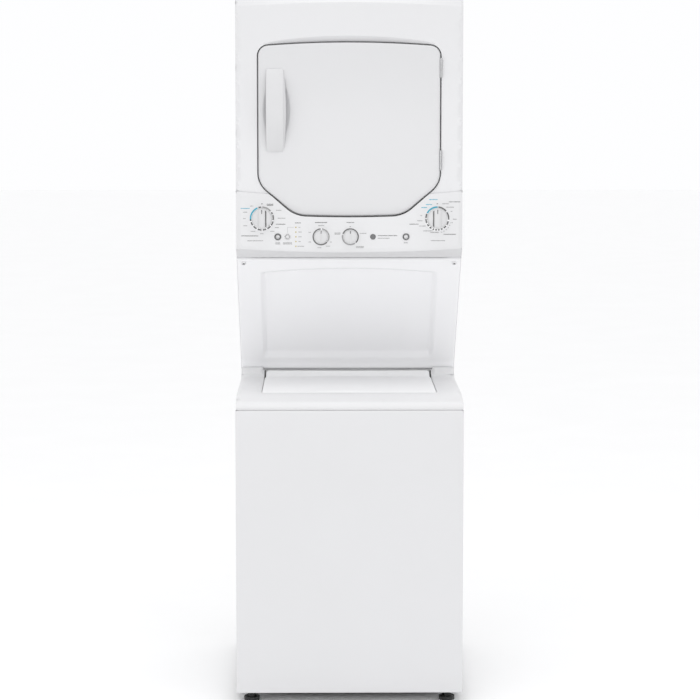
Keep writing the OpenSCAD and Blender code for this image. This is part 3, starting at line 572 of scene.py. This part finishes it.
CONSOLE_HALF, CONSOLE_Y, CONSOLE_BACK, CHIN_Z = 301.2, -228, -213.6, 1184.9
CHIN_Y, CHIN_BACK = -224.8, -183.2
DIAL_Z, ROW_Z = 1291.5, 1243
BUTTON_HOLES = ((-190, 6.9), (151, 6.9), (-164, 5.7))


def console_low(x):
    return 1200.8 + 10.0 * (x / CONSOLE_HALF) ** 2


def console_top(x):
    return 1348.5 + 15.3 * (x / CONSOLE_HALF) ** 2


def console_face(x, z):
    y = CONSOLE_Y
    if z > 1290:
        y += 11.0 * ((z - 1290) / 74) ** 1.7
    for gap, r in ((CONSOLE_HALF - abs(x), 6), (console_top(x) - z, 2), (z - console_low(x), 4)):
        if gap < r:
            y += r * 0.8 * (1 - sqrt(max(1 - (1 - max(gap, 0) / r) ** 2, 0)))
    return y


span = np.linspace(-CONSOLE_HALF, CONSOLE_HALF, 91)
side_low, side_top = console_low(CONSOLE_HALF), console_top(CONSOLE_HALF)
right_side = [(CONSOLE_HALF, z) for z in np.linspace(side_low, side_top, 28)[1:-1]]
left_side = [(-x, z) for x, z in right_side[::-1]]
# Only the part of the door's outline below the console's top cuts it
under = [tuple(p) for p in door_outline(RECESS_GAP) if p[1] < console_top(p[0]) - 2.5]
start = max(range(len(under)), key=lambda i: -under[i][0])
under = under[start:] + under[:start]
if under[1][0] < under[0][0] or under[1][1] > under[0][1]:
    under = under[::-1]
half_cut = abs(under[0][0])
left_top = [(x, console_top(x)) for x in span if x < -half_cut - 2]
right_top = [(x, console_top(x)) for x in span if x > half_cut + 2]
front_edge = [(x, console_low(x)) for x in span]
outline = front_edge + right_side + right_top[::-1] + under[::-1] + left_top[::-1] + left_side
skin = Skin()
outer = skin.loop(standing(outline, console_face))
creases = [[(x, console_low(x) + lift) for x in np.linspace(-294, 294, 90)] for lift in (1.2, 4)]
holes = []
for hole_x, hole_r in BUTTON_HOLES:
    circle = [(hole_x + hole_r * cos(a), ROW_Z + hole_r * sin(a)) for a in turns(40)]
    tube = skin.rings([standing(circle, CONSOLE_Y + depth) for depth in (0, 3, 9)])
    holes.append((tube[0], circle))
skin.fill((outer, outline), holes, onto(console_face), 8, creases)
deep = skin.loop(standing(outline, CONSOLE_BACK))
wall_start = len(front_edge)
skin.band(outer[wall_start - 1:] + outer[:1], deep[wall_start - 1:] + deep[:1], closed=False)
# The chin slopes back under the face
chin = [outer[:wall_start]]
for t in np.linspace(0, 1, 9)[1:]:
    chin.append(skin.loop(metres((x, (1 - t) * CHIN_Y + t * -189, (1 - t) * (console_low(x) - 1) + t * CHIN_Z)
                                 for x in span)))
chin += [skin.loop(metres((x, CHIN_BACK, z) for x in span)) for z in (CHIN_Z, 1205)]
for first, second in zip(chin, chin[1:]):
    skin.band(first, second, closed=False)
for end, corner in ((0, deep[0]), (-1, deep[wall_start - 1])):
    skin.faces.append(tuple([line[end] for line in chin] + [corner]))
console = skin.build("console_skin", CONSOLE_PLASTIC, "cabinet", "white_plastic", (0, -1, 0),
                     thick=0.002, sharp=32)
# Faces of the chin below the console's front edge get the darker copy: painted shade where the slope faces down.
console.data.materials.append(CHIN_SHADED_PLASTIC)
for face in console.data.polygons:
    middle = face.center
    if middle.z < console_low(middle.x / MM) * MM - 0.0006 and abs(middle.x) < (CONSOLE_HALF - 0.5) * MM:
        face.material_index = 1
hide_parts("console")


# ---- bridge between washer and dryer ----

BRIDGE_HALF = 300
BRIDGE_PATH = [(103, 846.2), (101.6, 852), (99, 860), (96.5, 868), (88, 877.4),
               (-183, 1174), (-184.8, 1176.8), (-185, 1183.2)]
RECESS_HALF, RECESS_SINK, RECESS_EDGE, RECESS_ARCH = 233, 8.6, 17, 16


def path_frame(path):
    """Maps a distance along an open profile, and a sink below it, to a point; also the corners' distances."""
    line = np.array(path, float)
    steps = np.hypot(*np.diff(line, axis=0).T)
    along = np.concatenate([[0], np.cumsum(steps)])

    def at(s, sink=0.0):
        y, z = np.interp(s, along, line[:, 0]), np.interp(s, along, line[:, 1])
        k = min(max(int(np.searchsorted(along, s)) - 1, 0), len(steps) - 1)
        dy, dz = (line[k + 1] - line[k]) / steps[k]
        return y + sink * dz, z - sink * dy
    return at, along


bridge_at, bridge_along = path_frame(BRIDGE_PATH)
slope_start, slope_end = bridge_along[4], bridge_along[5]
recess_top = slope_end - 48


def bridge_sink(x, s):
    arch = RECESS_ARCH * (1 - (x / RECESS_HALF) ** 2)
    side = smooth((RECESS_HALF - abs(x)) / RECESS_EDGE + 0.5)
    top = smooth((recess_top + arch - s) / RECESS_EDGE + 0.5)
    foot = smooth((s - slope_start + 4) / 34)
    return RECESS_SINK * side * top * foot


near = [RECESS_EDGE * t for t in np.linspace(-0.6, 0.6, 13)]
edge_columns = [RECESS_HALF + v for v in near] + [252, 268, 284, 294, 297, 298.6, 299.6, BRIDGE_HALF]
across = sorted([s * v for s in (-1, 1) for v in edge_columns] + list(np.linspace(-218, 218, 45)))
down = [*bridge_along[:5], *np.linspace(slope_start + 3, slope_start + 40, 10),
        *np.linspace(slope_start + 55, recess_top - 14, 22), *(recess_top + v for v in near),
        *np.linspace(recess_top + 16, slope_end - 8, 4), slope_end - 3, *bridge_along[5:]]


def bridge_point(x, s):
    """Rows of points follow the recess's arched top; the top edge stands forward, more so at its ends."""
    follow = min(max((s - slope_start) / (recess_top - slope_start), 0), 1)
    if s > recess_top:
        follow = max((slope_end - 6 - s) / (slope_end - 6 - recess_top), 0)
    shifted = s + RECESS_ARCH * max(1 - (x / RECESS_HALF) ** 2, 0) * follow
    roll = max(abs(x) - (BRIDGE_HALF - 3), 0) / 3
    y, z = bridge_at(shifted, bridge_sink(x, shifted) + 3.0 * (1 - sqrt(1 - roll ** 2)))
    end = smooth((abs(x) - 262) / 8)
    if s >= bridge_along[6]:
        y -= 1.8 + 1.9 * end
    if s == bridge_along[7]:
        z = 1183.9 + 0.95 * end
    return (x * MM, y * MM, z * MM)


skin = Skin()
made = skin.rings([[bridge_point(x, s) for x in across] for s in down], closed=False)
for end, x in ((0, -BRIDGE_HALF), (-1, BRIDGE_HALF)):
    flange = []
    for s in down:
        y, z = bridge_at(s, 16)
        flange.append((x * MM, min(y, 110) * MM, min(max(z, 846.5), 1180.5) * MM))
    skin.band([line[end] for line in made], skin.loop(flange), closed=False)
# The bridge's lighter enamel is painted light against the shade under the dryer.
bridge = skin.build("bridge_skin", ENAMEL_BRIDGE_LIGHTENED, "cabinet", "enamel", (0, -1, -0.3), thick=0.001, sharp=40)
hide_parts("bridge_panel")


# ---- washer front panel ----

WASHER, WASHER_Y = (-301.5, 301.5, 28.2, 791.1), -325
skin = Skin()
made = skin.rings([standing(round_box(WASHER, 7, inset), y) for inset, y in (
    (2.4, -306), (2.4, -322.2), (0, -322.3), (0, -323.2), (0.3, -324), (0.9, -324.6), (1.7, -324.9),
    (2.6, WASHER_Y))])
skin.fill((made[-1], round_box(WASHER, 7, 2.6)), [], onto(WASHER_Y), 40)
washer_front = skin.build("washer_front_skin", ENAMEL, "cabinet", "enamel", (0, -1, 0), thick=0.001)
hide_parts("washer_front_panel")


# ---- washer top cover and lid ----

COVER_HALF, COVER_LOW, LEDGE_Z = 300.5, 791.5, 804
WELL, WELL_R = (-236.5, 236.5, -246, 109), 13
OPENING, OPENING_R = (-185, 185, -222, 60), 60
DECK_PATH = [(-325, COVER_LOW), (-325, 803), (-324.9, 808.6), (-324.3, 811.2), (-322.6, 812.8),
             (-319, 813.9), (-306, 816.6), (-288, 820.3), (-268, 824), (-252, 826.5), (-244, 827.4),
             (-220, 828), (50, 828), (62, 828.4), (72, 831.6), (90, 841.6), (97, 844.2),
             (104, 845), (311.5, 845)]
deck_at, deck_along = path_frame(DECK_PATH)
deck_ys = np.array([p[0] for p in DECK_PATH[6:]])


def deck_s(y):
    """Distance along the deck profile for a depth behind its front roll."""
    return float(np.interp(y, deck_ys, deck_along[6:]))


def deck_point(x, s, drop=0.0):
    roll = max(abs(x) - (COVER_HALF - 5), 0) / 5
    y, z = deck_at(s, 5.0 * (1 - sqrt(max(1 - roll ** 2, 0))) if s > deck_along[2] else 0)
    return (x * MM, y * MM, (z - drop) * MM)


def stepped(values, gap):
    points = [values[0]]
    for value in values[1:]:
        count = max(int((value - points[-1]) / gap), 1)
        points += list(np.linspace(points[-1], value, count + 1)[1:])
    return points


deck_rows = stepped(list(deck_along), 16)
half_cols = [295.5, 297, 298.4, 299.6, 300.3, COVER_HALF]
deck_cols = stepped([-v for v in half_cols[::-1]] + half_cols, 14)
border = [(x, 0) for x in deck_cols] + [(COVER_HALF, s) for s in deck_rows[1:]]
border += [(x, deck_rows[-1]) for x in deck_cols[-2::-1]] + [(-COVER_HALF, s) for s in deck_rows[-2:0:-1]]
skin = Skin()
outer = skin.loop(deck_point(x, s) for x, s in border)
foot = skin.loop((p[0], p[1], COVER_LOW * MM) for p in (deck_point(x, s) for x, s in border))
skin.band(outer, foot)
creases = [[(x, s) for x in deck_cols[1:-1]] for s in deck_along[1:9]]
loops = [[deck_point(x, deck_s(y), drop) for x, y in round_box(WELL, WELL_R, gap, 36)]
         for gap, drop in ((0, 0), (0.5, 0.25), (1.2, 0.9), (1.5, 2), (1.5, 12))]
loops += [lying(round_box(WELL, WELL_R, gap, 36), z)
          for gap, z in ((1.5, LEDGE_Z + 3), (2.5, LEDGE_Z + 1), (4.5, LEDGE_Z))]
well_walls = skin.rings(loops)
well_flat = [(x, deck_s(y)) for x, y in round_box(WELL, WELL_R, side=36)]
skin.fill((outer, border), [(well_walls[0], well_flat)], deck_point, 14, creases)
lips = skin.rings([lying(round_box(OPENING, OPENING_R, gap, 30), z)
                   for gap, z in ((0, LEDGE_Z), (0.8, 803.7), (1.8, 802.4), (2, 800), (2, 784))])
skin.fill((well_walls[-1], round_box(WELL, WELL_R, 4.5, 36)),
          [(lips[0], round_box(OPENING, OPENING_R, side=30))],
          lambda x, y: (x * MM, y * MM, LEDGE_Z * MM), 14)
# The cover's darker plastic is painted shade on its top, which faces the light.
cover = skin.build("top_cover_skin", COVER_PLASTIC_SHADED, "cabinet", "white_plastic", (0, 0, 1), thick=0.0012, sharp=35)
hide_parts("top_cover")

SIDES = ((-1, "left"), (1, "right"))
SWEEP = [(76, 833.6), (84, 838.3), (90, 841.9), (94.6, 845.2), (97.6, 848.4), (98.8, 852)]
for side, word in SIDES:
    skin = Skin()
    columns = [side * v for v in stepped([238.5, 300], 10)]
    skin.rings([metres((x, y - 0.3, z + 0.3) for x in columns) for y, z in SWEEP], closed=False)
    fillet = skin.build("cover_sweep_" + word, COVER_PLASTIC_SHADED, "cabinet", "white_plastic", (0, -1, 1),
                        thick=0.0008, sharp=40)
    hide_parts("top_cover")

LID, LID_SKIRT = (-233.8, 233.8, -243.6, 97), 814.5
GRIP_HALF, GRIP_DEEP, GRIP_SINK, GRIP_WALL = 92, 25, 2.6, 5
BEND, BEND_ARCH = 40, 34


def lid_sink(x, y):
    """Finger grip pressed into the middle of the lid's front edge."""
    arch = 1 - (x / GRIP_HALF) ** 2
    if arch <= 0:
        return 0
    return GRIP_SINK * smooth((LID[2] + GRIP_DEEP * arch - y) / GRIP_WALL) * sqrt(arch)


def bend_start(x):
    """Where the lid starts to rise: further back in the middle than at the sides."""
    return BEND + BEND_ARCH * max(1 - (x / LID[1]) ** 2, 0)


def bend_at(x, t):
    """Depth of the point a share t of the way from the bend's start to the lid's rear edge."""
    return bend_start(x) + t * (LID[3] - bend_start(x))


def lid_point(x, y, drop=0.0):
    start = bend_start(x)
    profile_y = y if y < BEND else BEND + max(y - start, 0) * (LID[3] - BEND) / (LID[3] - start)
    _, z = deck_at(deck_s(min(profile_y, LID[3])))
    return (x * MM, y * MM, (z - drop - lid_sink(x, y)) * MM)


def lid_outline(inset):
    """The lid's outline from above; the slots beside it widen where it sweeps up to its hinge."""
    return [(x * (1 - 0.014 * smooth((y - 56) / 14)), y) for x, y in round_box(LID, 11, inset, 44)]


skin = Skin()
loops = [metres((x, y, max(LID_SKIRT, deck_at(deck_s(y))[1] - 14)) for x, y in lid_outline(1.6))]
loops += [[lid_point(x, y, drop) for x, y in lid_outline(inset)]
          for inset, drop in ((0, 6), (0, 3.4), (0.5, 1.9), (1.5, 0.8), (2.8, 0.2), (4.4, 0))]
made = skin.rings(loops)
creases = [[(x, bend_at(x, t)) for x in np.linspace(-224, 224, 44)] for t in (0, 0.26, 0.47)]
creases += [[(x, LID[2] + GRIP_DEEP * (1 - (x / GRIP_HALF) ** 2) - lag) for x in np.linspace(-span, span, 48)]
            for lag, span in ((0, 78), (GRIP_WALL, 66))]
skin.fill((made[-1], lid_outline(4.4)), [], lid_point, 10, creases)
# The lid's lighter plastic is painted light against the shade under the dryer.
lid = skin.build("lid_skin", PLASTIC, "lid", "white_plastic", (0, 0, 1), thick=0.0012, sharp=35)
# Dark strips in the slots beside the lid's rear: painted shade standing in for the shadow inside the slots.
for side, word in SIDES:
    skin = Skin()
    loops = []
    for y in (63, 70, 77, 84, 91, 98, 106):
        top = deck_at(deck_s(y))[1] - 2
        box = ((231.9, 807), (236.2, 807), (236.2, top), (231.9, top))
        loops.append(standing([(side * x, z) for x, z in box], y))
    skin.solid(loops)
    skin.build("painted_shadow_slot_" + word, SHADOW, "cabinet", "dark_plastic")
LINER_LOW = 815.2
inner_lid = round_box((-228, 228, -238, 70), 10, side=44)
skin = Skin()
skin.solid([lying(inner_lid, LINER_LOW), lying(inner_lid, 817)])
for x0, x1 in ((-200, -30), (30, 200)):
    for y0, y1 in ((-200, -70), (-50, 50)):
        low_ring = skin.rings([lying(round_box((x0, x1, y0, y1), 22, inset), z)
                               for inset, z in ((0, LINER_LOW), (6, 812.4))])
        skin.faces.append(tuple(low_ring[1]))
liner = skin.build("lid_liner", PLASTIC, "lid", "white_plastic", sharp=25)
pins = [lathe("lid_pin", [(0, 0), (3.4, 0), (4, 0.6), (4, 11.5)],
              lambda a, b, h, side=side: (side * (244.2 * MM - h), 80 * MM + a, 826 * MM + b),
              GREY_PLASTIC, "lid", "grey_plastic", steps=32) for side in (-1, 1)]
for piece in (lid, liner, *pins):
    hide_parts("washer_lid")


# ---- knobs, buttons and printing ----

CYCLE_X, TIMER_X, TEMPERATURE_X, OPTION_X, PRINT_T = -232, 234, -75, 3, 0.18
KNOB_Y, SHAFT_Y, KNURLS = -228.9, -198.5, 60


def knob(name, x, z, r, height, grip_half, grip_out, shade):
    """Turned body with a fine rim, a raised grip bar and a pointer line; shade puts a painted shadow line by the
    bar.
    """
    def place(a, b, h):
        swell = 1 + 0.006 * cos(KNURLS * atan2(b, a)) if 3.0 < h / MM < height - 1.5 else 1
        return (x * MM + a * swell, KNOB_Y * MM - h, z * MM + b * swell)

    def mark(part, outline, low, high):
        bar = Skin()
        bar.solid([standing([(x + a, z + b) for a, b in outline], KNOB_Y - h) for h in (low, high)])
        bar.build(f"{name}_{part}", INK_AND_SHADOW_GREY, name, "dark_plastic")

    profile = [(r * 0.96, 0), (r, 0.8), (r, 2.4), (r * 0.985, 3.2), (r * 0.93, height - 2.6),
               (r * 0.90, height - 1), (r * 0.84, height), (r * 0.60, height + 0.6), (r * 0.30, height + 0.9),
               (0, height + 1)]
    turned = lathe(name + "_turned", profile, place, KNOB_PLASTIC, name, "grey_plastic", steps=240, sharp=40)
    skin = Skin()
    loops = []
    for t in np.linspace(-1, 1, 37):
        end = sqrt(max(1 - t ** 8, 0.02))
        top = height + grip_out * (1 - 0.25 * t * t) * min(end * 1.2, 1)
        w = grip_half * (0.82 + 0.18 * end)
        half = [(w * 1.25, height - 3), (w, height + 0.4), (w * 0.94, top - 1.5), (w * 0.70, top - 0.3),
                (w * 0.3, top)]
        outline = [(-a, h) for a, h in half] + half[::-1]
        loops.append(metres((x + a, KNOB_Y - h, z + t * r * 0.93) for a, h in outline))
    skin.solid(loops)
    grip = skin.build(name + "_grip", KNOB_PLASTIC, name, "grey_plastic", sharp=40)
    mark("pointer", [(-0.9, r * 0.50), (0.9, r * 0.50), (0.9, r * 0.90), (-0.9, r * 0.90)],
         height + grip_out * 0.76, height + grip_out + 0.15)
    # A dark ink strip beside the grip: painted shadow of the raised bar, on the side given by shade.
    if shade:
        near, far = shade * grip_half * 1.02, shade * (grip_half * 1.02 + r * 0.11)
        mark("grip_painted_shadow", [(near, -r * 0.80), (far, -r * 0.74), (far, r * 0.74), (near, r * 0.80)],
             height - 1.5, height + 1.1)
    shaft = lathe(name + "_shaft", [(0, 0), (3, 0), (3, 28), (0, 28)], facing_front(x, SHAFT_Y, z), STEEL, name,
                  "zinc", steps=32)
    return turned, grip, shaft


def arc_outline(x, z, r0, r1, a0, a1):
    angles = np.radians(np.linspace(a0, a1, max(int(abs(a1 - a0) / 3), 2) + 1))
    return [(x + r * cos(a), z + r * sin(a)) for r, way in ((r1, angles), (r0, angles[::-1])) for a in way]


class Print:
    """Collects printed shapes of one ink into one thin raised piece on the console's face."""

    def __init__(self):
        self.skin = Skin()

    def shape(self, outline):
        self.skin.solid([standing(outline, lambda x, z: console_face(x, z) + sink) for sink in (0.1, -PRINT_T)])

    def arc(self, x, z, r0, r1, a0, a1):
        stops = np.linspace(a0, a1, max(ceil(abs(a1 - a0) / 40), 1) + 1)
        for start, stop in zip(stops, stops[1:]):
            self.shape(arc_outline(x, z, r0, r1, start, stop))

    def bar(self, x, z, w, h):
        self.shape([(x + u * w / 2, z + v * h / 2) for u, v in ((-1, -1), (1, -1), (1, 1), (-1, 1))])

    def label(self, rng, x, z, w, rows=1):
        """Stands for a word: short strokes of uneven width."""
        for row in range(rows):
            left, level = x - w / 2, z - 3.0 * row
            while left < x + w / 2 - 0.8:
                size = rng.uniform(0.7, 1.7)
                self.bar(left + size / 2, level + rng.uniform(-0.12, 0.12), size, rng.uniform(1.6, 2.5))
                left += size + 0.5


dark, pale, teal, silver = Print(), Print(), Print(), Print()
# Inner and outer radius of the arcs, and how far the silver band shows round them
LARGE_RING, SMALL_RING = (28.4, 32.2, 0.5), (19.4, 22.7, 0.4)
DOTS_R, DOT_R = 38, 0.9
for x, z, (r0, r1, rim), arcs in (
        (CYCLE_X, DIAL_Z, LARGE_RING, {teal: [(113, 190)], pale: [(40, 88)], dark: [
            (-8, 18), (-36, -14), (-62, -42), (-86, -68), (-112, -92), (-138, -118), (-162, -144), (-176, -168),
            (22, 34), (94, 107)]}),
        (TIMER_X, DIAL_Z, LARGE_RING, {teal: [(88, 152)], dark: [
            (40, 84), (-6, 34), (-34, -14), (-56, -40), (-72, -62), (-86, -78), (-100, -92), (-114, -106),
            (-132, -120), (-150, -138), (-178, -156), (156, 178)]}),
        (TEMPERATURE_X, ROW_Z, SMALL_RING, {dark: [(92, 318)], pale: [(-38, 84)]}),
        (OPTION_X, ROW_Z, SMALL_RING, {dark: [(-48, 160)], pale: [(166, 306)]})):
    silver.arc(x, z, r0 - 1, r1 + rim, 0, 360)
    for ink, spans in arcs.items():
        for start, stop in spans:
            ink.arc(x, z, r0, r1, start, stop)
silver.skin.build("dial_rings", RING_SILVER, "cabinet", "grey_plastic")
for a in np.radians(-18 - 11 * np.arange(6)):
    dark.shape(arc_outline(TIMER_X + DOTS_R * cos(a), DIAL_Z + DOTS_R * sin(a), 0.05, DOT_R, 0, 350))
# What is printed so far sits on the dial rings
for ink in (teal, pale, dark):
    ink.skin.points = [(x, y - (PRINT_T + 0.12) * MM, z) for x, y, z in ink.skin.points]
# Words round each dial, then along the row: (right, up, width, ink[, rows]); ink 0 dark, 1 pale, 2 teal
LABELS = (
    (CYCLE_X, DIAL_Z, ((22, 38, 18, 0, 2), (45, 22, 15, 1), (52, 1, 20, 1), (50, -15, 26, 0), (40, -24, 12, 1),
        (28, -34, 12, 1), (0, -40, 9, 1), (-24, -34, 12, 1), (-44, -19, 11, 1), (-46, 0, 8, 1),
        (-44, 17, 12, 1), (-27, 33, 8, 1), (-44, 27, 24, 2), (0, 39, 3, 0), (-32, -46, 46, 0),
        (-18, -59, 42, 1))),
    (TIMER_X, DIAL_Z, ((46, 44, 30, 0), (22, 39, 17, 1), (34, 30, 20, 1), (38, 19, 5, 1), (47, -2, 11, 1),
        (40, -11, 4, 1), (34, -42, 34, 0), (-8, -37, 22, 1), (-24, -33, 26, 1), (-40, -20, 16, 1),
        (-62, -15, 24, 0), (-46, -6, 14, 1), (-42, 8, 5, 1), (-22, 37, 17, 2), (-35, 29, 14, 2),
        (-10, 50, 22, 2), (0, 39, 3, 0), (2, -59, 38, 1))),
    (TEMPERATURE_X, ROW_Z, ((0, 38, 32, 0), (0, 30, 15, 1), (-30, 12, 7, 1), (-30, -14, 8, 1), (-4, -29, 11, 1),
        (19, -25, 12, 1), (26, -14, 5, 1))),
    (OPTION_X, ROW_Z, ((0, 38, 20, 0), (0, 27, 4, 0), (34, 9, 17, 1), (-34, 10, 16, 1, 2),
        (25, -26, 20, 1, 2))),
    (0, ROW_Z, ((-128.5, -25.2, 18, 1), (-132.5, -12.6, 5, 1), (-130.5, 0, 9, 1), (-130.5, 12.6, 9, 1),
        (-132.5, 25.2, 5, 1), (-136, 37, 16, 0), (-190, -16, 13, 1, 2), (-164, -16, 24, 1, 2),
        (151, -16, 12, 1), (102, 3, 52, 0), (92, -4, 32, 1))))
rng = np.random.default_rng(41)
for x, z, words in LABELS:
    for dx, dz, w, ink, *rows in words:
        (dark, pale, teal)[ink].label(rng, x + dx, z + dz, w, *rows)
pale.bar(-164, ROW_Z + 18, 0.5, 14)
pale.bar(-155.6, ROW_Z + 25.2, 17, 0.5)
dark.skin.build("printing_dark", INK_AND_SHADOW_GREY, "cabinet", "dark_plastic")
pale.skin.build("printing_pale", INK_PALE, "cabinet", "grey_plastic")
teal.skin.build("printing_teal", INK_TEAL, "cabinet", "dark_plastic")
LARGE_KNOB, SMALL_KNOB = (27.2, 15, 9, 6), (18.6, 13, 2.4, 2)
for node, x, z, size, shade in (("cycle_knob", CYCLE_X, DIAL_Z, LARGE_KNOB, 1),
                                ("timer_knob", TIMER_X, DIAL_Z, LARGE_KNOB, -1),
                                ("temperature_knob", TEMPERATURE_X, ROW_Z, SMALL_KNOB, 0),
                                ("option_knob", OPTION_X, ROW_Z, SMALL_KNOB, 0)):
    for piece in knob(node, x, z, *size, shade):
        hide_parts(node)


def button(name, x, r, ring_material, cap_material, slot):
    front = facing_front(x, -228.2, ROW_Z)
    ring = [(r, -0.1), (r, 1), (r - 0.5, 1.9), (r - 1.4, 2.3), (r - 2, 1.9), (r - 2.2, 0.9), (r - 2.2, -0.1)]
    cap = [(r - 2.6, -4), (r - 2.8, 1.6), (r - 3.4, 2.5), (r * 0.4, 3.1), (0, 3.2)]
    lathe(name + "_ring", ring, front, ring_material, "cabinet", slot, sharp=40)
    for piece in (lathe(name + "_cap", cap, front, cap_material, name, slot, sharp=40),
                  lathe(name + "_stem", [(r - 3, -8), (r - 3, -4)], front, DARK_PLASTIC, name, "dark_plastic")):
        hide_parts(name)


button("washer_start_button", -190, 9.2, DARK_CHROME, HINGE_STEEL, "chrome")
button("dryer_start_button", 151, 9.2, DARK_CHROME, HINGE_STEEL, "chrome")
button("signal_button", -164, 8, KNOB_PLASTIC, HANDLE_PLASTIC, "white_plastic")
for k in range(5):
    lamp = lathe(f"lamp_{k + 1}", [(1.7, -0.5), (1.7, 0.3), (1.3, 0.8), (0, 1.1)],
                 facing_front(-142, CONSOLE_Y, ROW_Z + 12.6 * (k - 2)), LAMP, "cabinet", "lamp", steps=24)
    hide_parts("indicator_lights")
badge = lathe("badge", [(7.5, -0.3), (7.5, 0.7), (7, 1.1), (5.8, 1.1), (5.6, 0.7), (0, 0.7)],
              facing_front(63, CONSOLE_Y, ROW_Z), BADGE, "cabinet", "dark_plastic", steps=48, sharp=40)
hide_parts("indicator_lights")


# ---- fastenings ----

def screw(name, place, r, height, phase):
    """Domed screw head with a cross recess, turned by phase."""
    dome = ((0.94, 0), (1, 0.2), (0.95, 0.55), (0.72, 0.88), (0.3, 1), (0, 1.02))
    head = lathe(name, [(r * a, height * b) for a, b in dome], place, STEEL, "cabinet", "zinc", steps=40, sharp=50)
    cross = Skin()
    for a in (radians(phase), radians(90 + phase)):
        ring = [(r * MM * (u * cos(a) - v * sin(a)), r * MM * (u * sin(a) + v * cos(a)))
                for u, v in ((-0.55, -0.12), (0.55, -0.12), (0.55, 0.12), (-0.55, 0.12))]
        cross.solid([[place(p, q, h * MM) for p, q in ring] for h in (height * 0.7, height + 0.12)])
    cross.build(name + "_cross", SHADOW, "cabinet", "zinc")
    return head


SCREW_ALONG, REAR_Y = 0.984, 313
screw_y, screw_z = bridge_at(slope_end * SCREW_ALONG)
slope = atan2(BRIDGE_PATH[5][1] - BRIDGE_PATH[4][1], BRIDGE_PATH[4][0] - BRIDGE_PATH[5][0])
rise, run = sin(slope), cos(slope)
for side, word in SIDES:
    head = screw("bridge_screw_" + word, lambda a, b, h: (
        side * 283 * MM + a, screw_y * MM - b * run - h * rise, screw_z * MM + b * rise - h * run), 6.4, 2.6, 30)
    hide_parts("cabinet_screws")
rng = np.random.default_rng(7)
for side in (-1, 1):
    for k, z in enumerate((930, 1060, 1240, 1450, 1660, 1850)):
        screw(f"rear_screw_{k}_{'a' if side < 0 else 'b'}",
              lambda a, b, h: (side * 288 * MM - a, REAR_Y * MM + h, z * MM + b), 4.2, 2, rng.uniform(0, 90))

# ---- carried-over nodes ----

dress("washer_cabinet dryer_cabinet dryer_stand", ENAMEL_DARK, 0.0012)
dress("base_frame rear_panel dryer_bulkhead heater_box lint_duct exhaust_duct", ZINC)
dress("suspension_rods gearcase spin_tube drive_platform drum", ZINC)
dress("washer_drive_pulley washer_motor_pulley motor_shaft idler_arm", ZINC, 0.0003)
dress("wash_basket", BASKET, 0)
dress("drum_baffles balance_ring tub_cover agitator", PLASTIC)
dress("door_inner", ENAMEL)
dress("outer_tub", TUB_PLASTIC)
dress("blower_housing blower_wheel lint_filter", GREY_PLASTIC, 0.0004)
dress("inlet_valve drain_pump washer_motor dryer_motor idler_pulley", DARK_PLASTIC)
dress("washer_belt drum_belt", RUBBER, 0.0004)
dress("door_gasket", RUBBER, 0.0008)
dress("door_hinge_arms door_hinge_leaves", HINGE_STEEL, 0.0002)
dress("foot_front_left foot_front_right foot_rear_left foot_rear_right", DARK_PLASTIC, 0.0008)

# ---- suspension springs ----

COIL_R, WIRE_R, COIL_TURNS, COIL_LOW, COIL_HIGH = 12.6, 1.7, 6.5, 98, 162.4
skin = Skin()
for corner_x, corner_y in ((-222, -262), (222, -262), (-222, 182), (222, 182)):
    loops = []
    for t in np.linspace(0, 1, 131):
        turn = 2 * pi * COIL_TURNS * t
        z = COIL_LOW + (COIL_HIGH - COIL_LOW) * (0.5 * t + 0.5 * smooth(t))
        wire = [(COIL_R + WIRE_R * cos(a), z + WIRE_R * sin(a)) for a in turns(8)]
        loops.append(metres((corner_x + r * cos(turn), corner_y + r * sin(turn), h) for r, h in wire))
    skin.solid(loops)
coils = skin.build("suspension_coils", STEEL, "cabinet", "zinc", sharp=50)
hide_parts("suspension_springs")
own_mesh(coils)


# ---- floor, light and camera ----

bpy.ops.mesh.primitive_plane_add(size=60, location=(0, 0, 0))
floor = bpy.context.object
floor.name = "studio_floor"
floor.data.materials.append(FLOOR)


def softbox(name, place, aim, size, power):
    light = bpy.data.lights.new(name, "AREA")
    light.shape, light.size, light.size_y, light.energy = "RECTANGLE", *size, power
    made = bpy.data.objects.new(name, light)
    made.location = place
    made.rotation_euler = (Vector(aim) - Vector(place)).to_track_quat("-Z", "Y").to_euler()
    SCENE.collection.objects.link(made)


softbox("front_box", (0.3, -4.6, 3.6), (0, -0.2, 1), (3.2, 2.2), 3)
softbox("left_box", (-3.2, -2.6, 2.2), (0, -0.1, 1.1), (1.6, 2.6), 4)
softbox("top_box", (0, -0.9, 4.2), (0, -0.2, 0.8), (2.4, 2), 18)
softbox("low_box", (0, -3.4, 1.25), (0, 0.1, 0.90), (2.2, 0.7), 9)

world = bpy.data.worlds.new("studio")
SCENE.world = world
world.use_nodes = True
sky = world.node_tree.nodes["Background"].inputs
sky["Color"].default_value, sky["Strength"].default_value = (0.99, 0.992, 1, 1), 1

EYE = (-0.073, -5.925, 1.625)
TILT, YAW, LENS, SHIFT_X, SHIFT_Y = 6.017, -0.533, 110.35, 0.0118, -0.045
camera = bpy.data.objects.new("camera", bpy.data.cameras.new("camera"))
camera.data.lens, camera.data.sensor_width = LENS, 36
camera.data.shift_x, camera.data.shift_y = SHIFT_X, SHIFT_Y
camera.location = EYE
camera.rotation_euler = (radians(90 - TILT), 0, radians(YAW))
SCENE.collection.objects.link(camera)
SCENE.camera = camera
SCENE.view_settings.view_transform = "Standard"
